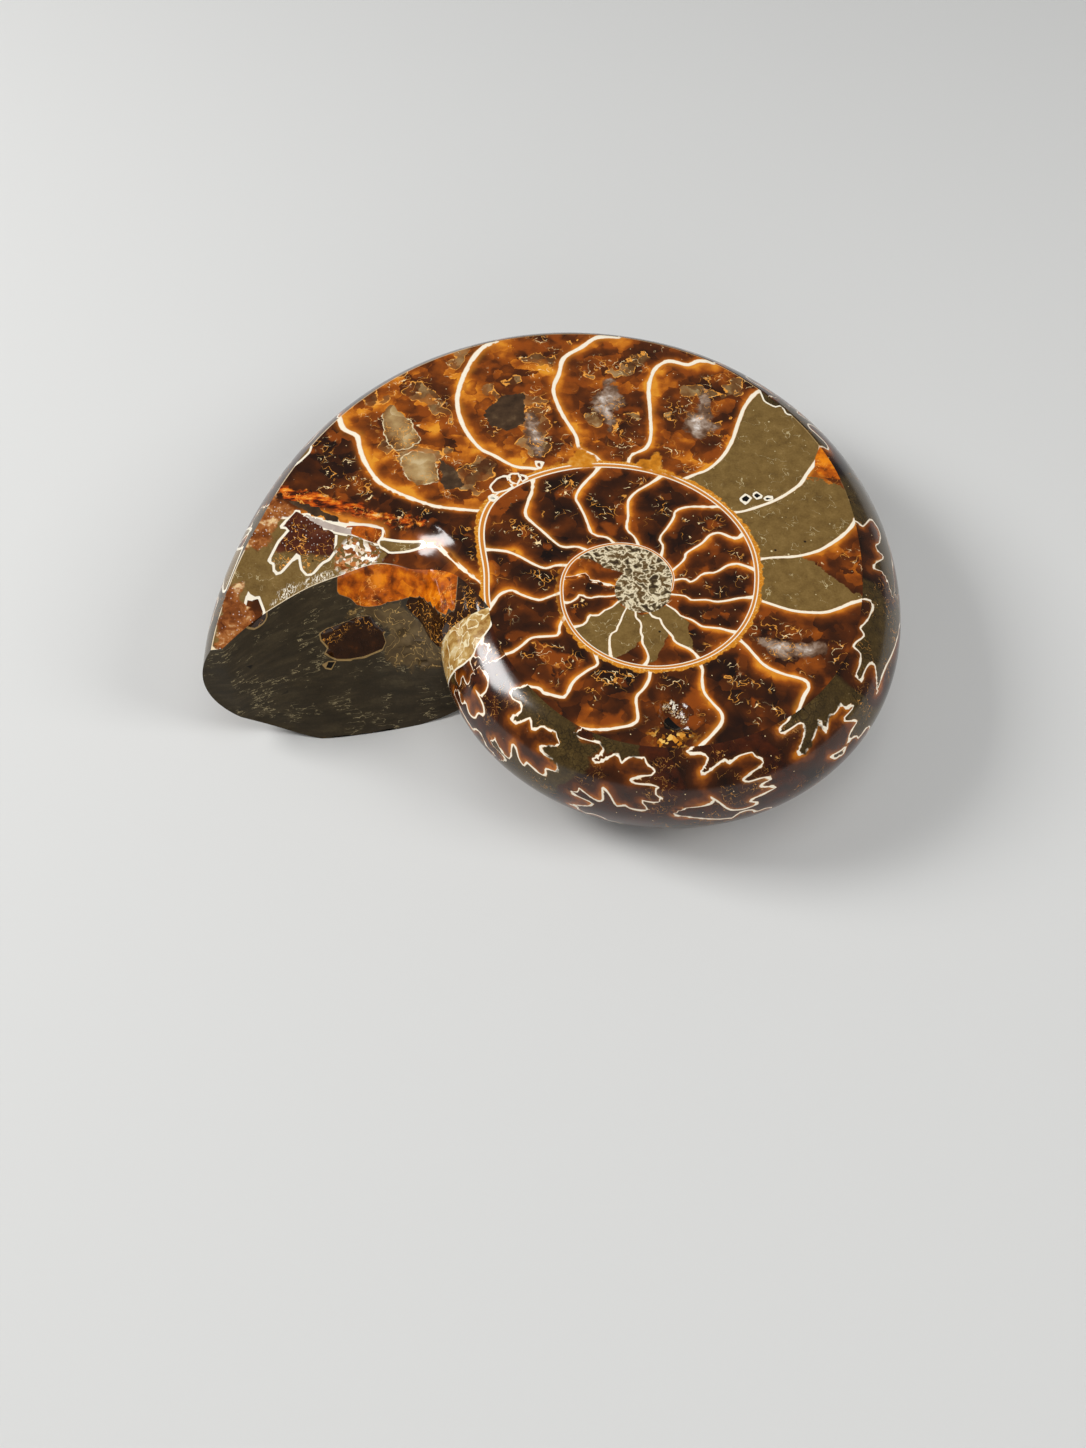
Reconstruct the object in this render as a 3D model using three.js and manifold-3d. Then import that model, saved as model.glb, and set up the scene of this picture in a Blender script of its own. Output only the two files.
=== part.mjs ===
// A polished ammonite: a coiled fossil shell whose upper side is ground to a flat face and whose rim and
// underside keep their round natural form. It formed as one piece, so it is one closed solid.
// Millimetres, +Z up. It is shaped round the axis of the coil and then moved so that the middle of its
// footprint is the origin. Angles are in degrees from +X, counted on along the coil as the shell grows.
import * as THREE from 'three';
import { mergeVertices } from 'three/addons/utils/BufferGeometryUtils.js';
import Module from 'manifold-3d';

const width = 72;                         // the whole fossil, from the broken mouth to the far side
const drawnWidth = 78;                    // every size below is drawn at this width, then scaled
const faceHeight = 16.5;                  // the ground face above what the fossil lies on
const midPlaneDrop = 7.0;                 // the widest line of the rim below the ground face
const turn = 360;
const firstAngle = 548;                   // where the last turn leaves the cover of the mouth
const mouthAngle = 908;                   // where the shell is broken off
const angleStep = 5;

// Radius of the wall between turns on the ground face, along the coil.
const wallRadius = [
  [188, 8.9], [240, 9.7], [300, 10.8], [360, 12.3], [390, 13.9], [420, 15.7],
  [450, 17.8], [480, 20.0], [500, 21.0], [510, 20.3], [530, 17.4], [548, 16.9],
];
// Radius of the edge of the ground face round the last turn.
const faceEdge = [
  [548, 16.9], [580, 17.4], [615, 19.4], [645, 20.6], [675, 22.0], [705, 23.2], [720, 23.9],
  [735, 25.2], [750, 27.5], [780, 33.4], [795, 36.8], [810, 39.5], [825, 41.6], [840, 43.0],
  [855, 43.6], [885, 43.7], [908, 44.5],
];
// Radius of the widest line of the rim round the last turn.
const rimRadius = [
  [548, 22.5], [600, 23.2], [630, 24.25], [660, 25.9], [690, 27.7], [720, 29.4], [735, 30.8],
  [750, 32.9], [765, 35.5], [795, 41.4], [810, 43.9], [825, 46.1], [840, 47.2], [855, 47.5],
  [885, 47.3], [908, 48.8],
];
// Half height of the rim's round section above the widest line, before grinding.
const upperSwell = [[548, 7.6], [630, 7.6], [720, 8.0], [765, 8.2], [810, 9.0], [855, 9.2], [908, 10.0]];
// Depth of the lower flank under the ground face, along the coil from its middle out.
const flankDepth = [
  [-172, 10.0], [188, 12.0], [548, 15.0], [615, 14.8], [660, 15.2], [690, 15.8], [720, 16.25],
  [750, 16.56], [780, 16.7], [908, 16.8],
];
const umbilicusRadius = 10.8;             // the hollow middle of the underside, at the mouth
const umbilicusGrowth = 1.74;             // how much wider the hollow is a turn later
const shoulderShare = 0.28;               // rounded edge of the hollow, as a share of its radius
const flankRise = 0.1;                    // how far the flank rises inwards, per millimetre of its width

// The shell ends in a slanting break. Its upper edge is set back from the mouth's plane and its foot
// stands forward, each given by distance from the previous turn.
const breakFade = 40;
const upperBreak = [
  [0, 0], [0.6, -1.2], [4, -5.9], [8, -9.6], [13, -12.1], [17, -10.7], [20, -9.3], [23, -7.0], [26, -4.2],
  [29, -0.7],
];
const lowerBreak = [[0, 0], [7, 2.0], [13, 3.0], [25, 3.7], [32, 2.7], [38, 2.4]];
const breakBevel = { start: 889, depth: 2.4, innerRadius: 18, fadeWidth: 9, sharpness: 1.3 };

const ribbonRows = 5;
const rimSteps = { upper: 4, lower: 5 };
const flankRows = 4;
const shoulderShares = [0, 0.03, 0.14, 0.4, 1];

const breakRows = 6;
const breakRoughness = 0.32;
// Hollows of the broken end: radius, height, how far in front of the break the middle is, and half sizes
// along the coil, outwards and upwards.
const breakHollows = [
  { radius: 32.0, height: 10.8, ahead: 0.5, size: [1.7, 4.0, 2.4], turn: 0.25 },
  { radius: 28.6, height: 8.4, ahead: 0.35, size: [1.0, 1.5, 0.8], turn: 1.0 },
  { radius: 24.6, height: 11.6, ahead: 0.4, size: [1.2, 1.7, 1.3], turn: 0.6 },
  { radius: 25.2, height: 3.4, ahead: 0.5, size: [1.3, 2.2, 1.0], turn: 0.2 },
  { radius: 41.5, height: 3.6, ahead: 0.6, size: [1.1, 2.0, 0.9], turn: 2.9 },
];
// Small holes in the ground face: radius, angle and size.
const faceHoles = [
  { radius: 17.2, angle: -82, size: [0.85, 0.6, 1.1], turn: 0.6 },
];
const floorCutReach = 120;
const mergeGap = 1e-3;

const clamp01 = (value) => Math.min(1, Math.max(0, value));
const lerp = (from, to, share) => from + (to - from) * share;
const easeInOut = (share) => clamp01(share) ** 2 * (3 - 2 * clamp01(share));

// Reads a measured list of [position, value] rows as a smooth curve through its points.
function along(rows, position) {
  const last = rows.length - 1;
  if (position <= rows[0][0]) return rows[0][1];
  if (position >= rows[last][0]) return rows[last][1];
  const index = rows.findIndex((row) => row[0] > position) - 1;
  const slopeAt = (at) => {
    const before = rows[Math.max(at - 1, 0)];
    const after = rows[Math.min(at + 1, last)];
    return (after[1] - before[1]) / (after[0] - before[0]);
  };
  const [x0, y0] = rows[index];
  const [x1, y1] = rows[index + 1];
  const span = x1 - x0;
  const t = (position - x0) / span;
  const startPull = slopeAt(index) * span;
  const endPull = slopeAt(index + 1) * span;
  return y0 * (2 * t ** 3 - 3 * t ** 2 + 1) + startPull * (t ** 3 - 2 * t ** 2 + t)
    + y1 * (3 * t ** 2 - 2 * t ** 3) + endPull * (t ** 3 - t ** 2);
}

const wallAt = (angle) => (angle < firstAngle ? along(wallRadius, angle) : along(faceEdge, angle));
const hollowAt = (angle) => umbilicusRadius * umbilicusGrowth ** ((angle - mouthAngle) / turn);

// The round section of the rim at an angle: its middle, its width and its two half heights.
function rimSection(angle) {
  const upper = along(upperSwell, angle);
  const width = (along(rimRadius, angle) - along(faceEdge, angle))
    / (1 - Math.sqrt(1 - (midPlaneDrop / upper) ** 2));
  const lower = along(flankDepth, angle) - midPlaneDrop;
  return { middle: along(rimRadius, angle) - width, width, upper, lower };
}

// The radius where the lower flank is deepest. Turns inside the last one shrink with the hollow.
function flankCrest(angle) {
  if (angle >= firstAngle) return rimSection(angle).middle;
  return rimSection(firstAngle).middle * umbilicusGrowth ** ((angle - firstAngle) / turn);
}

function flankHeight(angle, radius) {
  const crest = flankCrest(angle);
  const width = crest - hollowAt(angle) * (1 + shoulderShare);
  const inwards = clamp01((crest - radius) / width);
  return faceHeight - along(flankDepth, angle) + flankRise * width * inwards ** 2;
}

// How far the ground face slopes down towards the break.
function bevelDrop(angle, radius) {
  const reach = clamp01((angle - breakBevel.start) / (mouthAngle - breakBevel.start));
  const outwards = easeInOut((radius - breakBevel.innerRadius) / breakBevel.fadeWidth);
  return breakBevel.depth * reach ** breakBevel.sharpness * outwards;
}

const upperEdgeAngle = (angle) => {
  const drop = bevelDrop(angle, along(faceEdge, angle));
  return Math.asin((midPlaneDrop - drop) / along(upperSwell, angle));
};
const faceReach = (angle) => {
  const section = rimSection(angle);
  return section.middle + section.width * Math.cos(upperEdgeAngle(angle));
};

// A point of the shell, moved along the coil near the mouth so that the end row follows the break.
function place(angle, radius, height, ahead = 0) {
  const rise = clamp01(height / faceHeight);
  const upper = along(upperBreak, radius - wallAt(angle - turn));
  const lower = along(lowerBreak, radius - hollowAt(angle));
  const fade = easeInOut((angle - mouthAngle + breakFade) / breakFade);
  const shift = fade * lerp(lower, upper, rise) + ahead;
  const radians = THREE.MathUtils.degToRad(angle) + shift / Math.max(radius, 1);
  return [radius * Math.cos(radians), radius * Math.sin(radians), height];
}

// Rows of the surface, each as [angle, radius, height] points from its inner or upper end.
function faceRow(angle) {
  const inner = wallAt(angle - turn);
  const outer = faceReach(angle);
  return Array.from({ length: ribbonRows + 1 }, (_, index) => {
    const radius = lerp(inner, outer, index / ribbonRows);
    return [angle, radius, faceHeight - bevelDrop(angle, radius)];
  });
}

function rimRow(angle) {
  const section = rimSection(angle);
  const top = upperEdgeAngle(angle);
  const edge = faceReach(angle);
  const row = [[angle, edge, faceHeight - bevelDrop(angle, edge)]];
  for (let step = 1; step <= rimSteps.upper + rimSteps.lower; step += 1) {
    const share = step / rimSteps.upper - 1;
    const swing = step <= rimSteps.upper ? -top * share
      : (-Math.PI / 2) * ((step - rimSteps.upper) / rimSteps.lower);
    const half = swing > 0 ? section.upper : section.lower;
    row.push([angle, section.middle + section.width * Math.cos(swing),
      faceHeight - midPlaneDrop + half * Math.sin(swing)]);
  }
  return row;
}

function flankRow(angle) {
  const outer = flankCrest(angle);
  const inner = hollowAt(angle + turn);
  return Array.from({ length: flankRows + 1 }, (_, index) => {
    const radius = lerp(outer, inner, index / flankRows);
    return [angle, radius, flankHeight(angle, radius)];
  });
}

// The part of a turn's flank beside the hollow, from the seam where it meets the turn inside it.
function hollowRow(angle) {
  const inner = hollowAt(angle);
  const outer = hollowAt(angle + turn);
  const seam = flankHeight(angle - turn, inner);
  const shoulder = inner * shoulderShare;
  const row = shoulderShares.map((share) => {
    const radius = inner + shoulder * share;
    const swell = Math.sqrt(1 - (1 - share) ** 2);
    return [angle, radius, lerp(seam, flankHeight(angle, radius), swell)];
  });
  row.push([angle, lerp(inner + shoulder, outer, 0.5), 0], [angle, outer, 0]);
  row.slice(-2).forEach((point) => { point[2] = flankHeight(angle, point[1]); });
  return row;
}

// How far along an open line each of its points is, as a share of its length.
function sharesOf(points) {
  const reached = [0];
  points.slice(1).forEach(([, radius, height], index) => {
    const [, lastRadius, lastHeight] = points[index];
    reached.push(reached[index] + Math.hypot(radius - lastRadius, height - lastHeight));
  });
  return reached.map((length) => length / reached[reached.length - 1]);
}

function pointAt(points, share) {
  const shares = sharesOf(points);
  const index = Math.min(Math.max(shares.findIndex((value) => value >= share) - 1, 0), points.length - 2);
  const part = (share - shares[index]) / (shares[index + 1] - shares[index]);
  return points[index].map((value, axis) => lerp(value, points[index + 1][axis], part));
}

const unevenness = (radius, height) => 0.6 * Math.sin(2.3 * radius - 1.7 * height + 1)
  + Math.sin(1.1 * radius + 0.6 * height) * Math.cos(0.8 * height - 0.5 * radius);

// Fills the band between two lines that need not have equally many points.
function zip(inner, outer, facet) {
  let [here, there] = [0, 0];
  while (here < inner.points.length - 1 || there < outer.points.length - 1) {
    const moveOuter = here === inner.points.length - 1
      || (there < outer.points.length - 1 && outer.shares[there + 1] <= inner.shares[here + 1]);
    const next = moveOuter ? outer.points[there + 1] : inner.points[here + 1];
    facet(inner.points[here], outer.points[there], next);
    if (moveOuter) there += 1;
    else here += 1;
  }
}

function shellGeometry() {
  const triangles = [];
  const facet = (...points) => {
    const corners = points.map((point) => new THREE.Vector3(...place(...point)));
    if (corners.some((corner, index) => corner.distanceTo(corners[(index + 1) % 3]) < mergeGap)) return;
    corners.forEach((corner) => triangles.push(corner.x, corner.y, corner.z));
  };
  const sheet = (rowAt, from, to, flip) => {
    for (let angle = from; angle < to; angle += angleStep) {
      const here = rowAt(angle);
      const next = rowAt(angle + angleStep);
      for (let index = 0; index + 1 < here.length; index += 1) {
        const corners = [here[index], here[index + 1], next[index + 1], next[index]];
        const [a, b, c, d] = flip ? corners.reverse() : corners;
        facet(a, b, c);
        facet(a, c, d);
      }
    }
  };
  sheet(faceRow, firstAngle, mouthAngle, false);
  sheet(rimRow, firstAngle, mouthAngle, false);
  sheet(flankRow, firstAngle, mouthAngle, false);
  sheet(hollowRow, firstAngle - 2 * turn, mouthAngle, true);

  // The middle of each side is bounded by the inner edge of its ribbon and by the ribbon's first row.
  const spiral = (rowAt, from) => {
    const edge = [];
    for (let angle = from; angle <= from + turn; angle += angleStep) edge.push(rowAt(angle)[0]);
    return [...edge, ...rowAt(from).slice(1, -1).reverse()];
  };
  const fill = (contour, flip) => {
    const flat = contour.map((point) => new THREE.Vector2(...place(...point)));
    THREE.ShapeUtils.triangulateShape(flat, []).forEach(([a, b, c]) => {
      facet(contour[a], contour[flip ? c : b], contour[flip ? b : c]);
    });
  };
  fill(spiral(faceRow, firstAngle), false);
  fill(spiral(hollowRow, firstAngle - 2 * turn), true);

  // The broken end spans from the rim of the turn that the mouth covers out to the last row of the shell.
  const ending = [...faceRow(mouthAngle), ...rimRow(mouthAngle).slice(1), ...flankRow(mouthAngle).slice(1),
    ...hollowRow(mouthAngle).reverse().slice(1)];
  const covered = [...rimRow(firstAngle), ...flankRow(firstAngle).slice(1)];
  const shares = sharesOf(ending);
  let inner = { points: covered, shares: sharesOf(covered) };
  for (let step = 1; step <= breakRows; step += 1) {
    const points = ending.map(([, radius, height], index) => {
      const [, nearRadius, nearHeight] = pointAt(covered, shares[index]);
      const reach = step / breakRows;
      const point = [lerp(nearRadius, radius, reach), lerp(nearHeight, height, reach)];
      const inside = step < breakRows && index > 0 && index < ending.length - 1;
      return [mouthAngle, ...point, inside ? breakRoughness * unevenness(...point) : 0];
    });
    zip(inner, { points, shares }, facet);
    inner = { points, shares };
  }

  const geometry = new THREE.BufferGeometry();
  geometry.setAttribute('position', new THREE.Float32BufferAttribute(triangles, 3));
  return mergeVertices(geometry, mergeGap);
}

// A small irregular stone shape that is taken out of the shell where a piece has broken away.
function stone(size, spin, centre, heading) {
  const geometry = new THREE.IcosahedronGeometry(1, 1);
  const position = geometry.attributes.position;
  for (let index = 0; index < position.count; index += 1) {
    const [x, y, z] = [position.getX(index), position.getY(index), position.getZ(index)];
    const swell = 1 + 0.08 * Math.sin(7 * z + spin)
      + 0.13 * Math.sin(5 * x + 3 * spin) * Math.cos(4 * y - spin);
    position.setXYZ(index, x * swell, y * swell, z * swell);
  }
  geometry.scale(...size).rotateX(spin).rotateZ(heading).translate(...centre);
  geometry.deleteAttribute('normal');
  geometry.deleteAttribute('uv');
  return mergeVertices(geometry, 1e-4);
}

const wasm = await Module();
wasm.setup();

function toSolid(geometry) {
  const mesh = new wasm.Mesh({
    numProp: 3,
    vertProperties: new Float32Array(geometry.attributes.position.array),
    triVerts: new Uint32Array(geometry.index.array),
  });
  return new wasm.Manifold(mesh);
}

function toGeometry(solid) {
  const mesh = solid.getMesh();
  const geometry = new THREE.BufferGeometry();
  geometry.setAttribute('position', new THREE.Float32BufferAttribute(mesh.vertProperties, 3));
  geometry.setIndex(Array.from(mesh.triVerts));
  return geometry;
}

function ammoniteGeometry() {
  let solid = toSolid(shellGeometry());
  const floor = new THREE.BoxGeometry(floorCutReach, floorCutReach, floorCutReach);
  floor.translate(0, 0, -floorCutReach / 2);
  floor.deleteAttribute('normal');
  floor.deleteAttribute('uv');
  solid = solid.subtract(toSolid(mergeVertices(floor)));
  const heading = THREE.MathUtils.degToRad(mouthAngle + 90);
  breakHollows.forEach(({ radius, height, ahead, size, turn: spin }) => {
    const centre = place(mouthAngle, radius, height, ahead);
    solid = solid.subtract(toSolid(stone(size, spin, centre, heading)));
  });
  faceHoles.forEach(({ radius, angle, size, turn: spin }) => {
    const radians = THREE.MathUtils.degToRad(angle);
    const centre = [radius * Math.cos(radians), radius * Math.sin(radians), faceHeight];
    solid = solid.subtract(toSolid(stone(size, spin, centre, radians)));
  });
  const geometry = toGeometry(solid);
  geometry.computeBoundingBox();
  const { min, max } = geometry.boundingBox;
  geometry.translate(-(min.x + max.x) / 2, -(min.y + max.y) / 2, -min.z);
  geometry.scale(width / drawnWidth, width / drawnWidth, width / drawnWidth);
  geometry.computeVertexNormals();
  return geometry;
}

const polishedStone = new THREE.MeshStandardMaterial({ color: 0x7a4418, roughness: 0.22, metalness: 0 });
const ammonite = new THREE.Mesh(ammoniteGeometry(), polishedStone);
ammonite.name = 'ammonite';

const part = new THREE.Group();
part.add(ammonite);
export default part;
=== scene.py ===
import math

import bpy
import numpy as np
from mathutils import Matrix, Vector, kdtree
from mathutils.geometry import delaunay_2d_cdt


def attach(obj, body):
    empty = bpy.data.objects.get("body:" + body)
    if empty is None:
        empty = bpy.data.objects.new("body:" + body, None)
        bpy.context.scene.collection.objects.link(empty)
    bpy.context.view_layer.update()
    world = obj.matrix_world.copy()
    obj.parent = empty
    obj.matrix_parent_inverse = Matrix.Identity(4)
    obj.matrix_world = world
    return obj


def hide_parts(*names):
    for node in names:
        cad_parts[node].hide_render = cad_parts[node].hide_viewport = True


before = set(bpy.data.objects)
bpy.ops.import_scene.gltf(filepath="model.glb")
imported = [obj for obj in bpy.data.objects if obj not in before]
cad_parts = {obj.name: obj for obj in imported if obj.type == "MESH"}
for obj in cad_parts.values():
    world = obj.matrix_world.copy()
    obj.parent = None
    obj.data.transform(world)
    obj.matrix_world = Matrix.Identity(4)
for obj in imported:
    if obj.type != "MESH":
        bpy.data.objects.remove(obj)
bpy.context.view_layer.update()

print("frame loaded")

# Lists are [degrees along the coil, millimetres], drawn at drawnWidth and scaled to width.
shell = dict(
    width=71.94,  # a hair inside the solid's box
    drawnWidth=78.0,
    faceHeight=16.5,
    midPlaneDrop=7.0,
    innerAngle=-172.0,  # the coil is drawn from here on
    firstAngle=548.0,  # the last turn comes out from under the mouth here
    mouthAngle=908.0,
    discRadius=3.1,
    wall=[[0, 3.1], [15, 3.4], [30, 3.9], [60, 4.9], [90, 6.1], [120, 7.35], [150, 8.6], [165, 8.85],
          [188, 8.9], [240, 9.7], [300, 10.8], [360, 12.3], [390, 13.9], [420, 15.7], [450, 17.8],
          [480, 20.0], [500, 21.0], [510, 20.3], [530, 17.4], [548, 16.9]],
    faceEdge=[[548, 16.9], [580, 17.4], [615, 19.4], [645, 20.6], [675, 22.0], [705, 23.2], [720, 23.9],
              [735, 25.2], [750, 27.5], [780, 33.4], [795, 36.8], [810, 39.5], [825, 41.6], [840, 43.0],
              [855, 43.6], [885, 43.7], [908, 44.5]],
    rim=[[548, 22.5], [600, 23.2], [630, 24.25], [660, 25.9], [690, 27.7], [720, 29.4], [735, 30.8],
         [750, 32.9], [765, 35.5], [795, 41.4], [810, 43.9], [825, 46.1], [840, 47.2], [855, 47.5],
         [885, 47.3], [908, 48.8]],
    upperSwell=[[548, 7.6], [630, 7.6], [720, 8.0], [765, 8.2], [810, 9.0], [855, 9.2], [908, 10.0]],
    flankDepth=[[-172, 10.0], [188, 12.0], [548, 14.2], [580, 14.5], [615, 14.8], [660, 15.2], [690, 15.8],
                [720, 16.25], [750, 16.56], [780, 16.7], [908, 16.8]],
    hollowRadius=10.8,  # the open middle of the underside, at the mouth
    hollowGrowth=1.74,
    shoulder=0.28,
    flankRise=0.1,
    breakFade=40.0,
    upperBreak=[[0, 0], [0.6, -1.2], [4, -5.9], [8, -9.6], [13, -12.1], [17, -10.7], [20, -9.3],
                [23, -7.0], [26, -4.2], [29, -0.7]],
    lowerBreak=[[0, 0], [4.4, 0], [7.5, 1.3], [13, 3.0], [25, 3.7], [32, 2.7], [38, 2.4]],
    bevelStart=889.0,
    bevelDepth=2.4,
    bevelInner=18.0,
    bevelFade=9.0,
    bevelSharpness=1.3,
)
meshing = dict(faceStep=0.5, rimStep=0.42, upperRows=20, lowerRows=32, undersideStep=0.62, breakStep=0.42,
               jitter=0.18, seed=7, clearance=0.6, pitDepth=0.4, pitCeiling=16, wallStep=2.0, discStep=10.0,
               hollowStep=3.0, hollowSpans=7, faceNear=62, rimNear=26, wallNear=23, farGap=9.0,
               breakHold=3.0, sharpAngle=34)

faceHeight, innerAngle = shell["faceHeight"], shell["innerAngle"]
firstAngle, mouthAngle = shell["firstAngle"], shell["mouthAngle"]
farGap = meshing["farGap"]
metres = shell["width"] / shell["drawnWidth"] / 1000


def easeInOut(share):
    share = np.clip(share, 0, 1)
    return share * share * (3 - 2 * share)


def blendTo(start, end, share):
    return start + (end - start) * share


def along(rows, position):  # a smooth curve through [position, value] rows
    places, values = np.array(rows, float).T
    slopes = np.empty_like(values)
    slopes[1:-1] = (values[2:] - values[:-2]) / (places[2:] - places[:-2])
    slopes[0] = (values[1] - values[0]) / (places[1] - places[0])
    slopes[-1] = (values[-1] - values[-2]) / (places[-1] - places[-2])
    position = np.clip(position, places[0], places[-1])
    index = np.clip(np.searchsorted(places, position, side="right") - 1, 0, len(places) - 2)
    span = places[index + 1] - places[index]
    t = (position - places[index]) / span
    return (values[index] * (2 * t**3 - 3 * t**2 + 1) + slopes[index] * span * (t**3 - 2 * t**2 + t)
            + values[index + 1] * (3 * t**2 - 2 * t**3) + slopes[index + 1] * span * (t**3 - t**2))


def wallAt(angle):
    return np.where(angle < firstAngle, along(shell["wall"], angle), along(shell["faceEdge"], angle))


def hollowAt(angle):
    return shell["hollowRadius"] * shell["hollowGrowth"] ** ((angle - mouthAngle) / 360)


def innerTurns(angle):  # turns inside the last one shrink at the rate of the hollow
    return shell["hollowGrowth"] ** (np.minimum(angle - firstAngle, 0) / 360)


def rimSection(angle):  # middle radius, width and the two half heights of the round rim
    upper = along(shell["upperSwell"], angle)
    reach = along(shell["rim"], angle) - along(shell["faceEdge"], angle)
    width = reach / (1 - np.sqrt(1 - (shell["midPlaneDrop"] / upper) ** 2))
    lower = along(shell["flankDepth"], angle) - shell["midPlaneDrop"]
    return along(shell["rim"], angle) - width, width, upper, lower


def flankCrest(angle):
    return rimSection(np.maximum(angle, firstAngle))[0] * innerTurns(angle)


def flankHeight(angle, radius):
    crest = flankCrest(angle)
    width = crest - hollowAt(angle) * (1 + shell["shoulder"])
    inwards = np.clip((crest - radius) / width, 0, 1)
    return faceHeight - along(shell["flankDepth"], angle) + shell["flankRise"] * width * inwards**2


def bevelDrop(angle, radius):
    reach = np.clip((angle - shell["bevelStart"]) / (mouthAngle - shell["bevelStart"]), 0, 1)
    outwards = easeInOut((radius - shell["bevelInner"]) / shell["bevelFade"])
    return shell["bevelDepth"] * reach ** shell["bevelSharpness"] * outwards


def upperEdgeAngle(angle):
    drop = bevelDrop(angle, along(shell["faceEdge"], angle))
    return np.arcsin((shell["midPlaneDrop"] - drop) / along(shell["upperSwell"], angle))


def faceReach(angle):
    middle, width, _, _ = rimSection(angle)
    return middle + width * np.cos(upperEdgeAngle(angle))


def breakShift(angle, radius, height):
    upper = along(shell["upperBreak"], radius - wallAt(angle - 360))
    lower = along(shell["lowerBreak"], radius - hollowAt(angle))
    fade = easeInOut((angle - mouthAngle + shell["breakFade"]) / shell["breakFade"])
    return fade * blendTo(lower, upper, np.clip(height / faceHeight, 0, 1))


def place(angle, radius, height, hold=1.0, ahead=0.0):
    shift = breakShift(angle, radius, height) * hold + ahead
    radians = np.radians(angle) + shift / np.maximum(radius, 1)
    return np.stack(np.broadcast_arrays(radius * np.cos(radians), radius * np.sin(radians), height), -1)


def turnOf(points, edgeAt, turns, reachAt):  # the angle along the coil of plan points, with their radius
    radius = np.hypot(points[:, 0], points[:, 1])
    angle = (np.degrees(np.arctan2(points[:, 1], points[:, 0])) - innerAngle) % 360 + innerAngle
    found = angle + 360 * turns[0]
    for turn in turns[1:]:
        found = np.where(radius >= edgeAt(angle + 360 * (turn - 1)), angle + 360 * turn, found)
    past = (found > firstAngle - 0.5) & (found < firstAngle + 15) & (radius > reachAt(found) + 0.3)
    return np.where(past, found + 360, found), radius


def unshift(angle, radius, height):  # undoes the slant of the broken end
    rest = angle.copy()
    for _ in range(60):
        rest = angle - np.degrees(breakShift(rest, radius, height) / np.maximum(radius, 1))
    return rest


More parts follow.
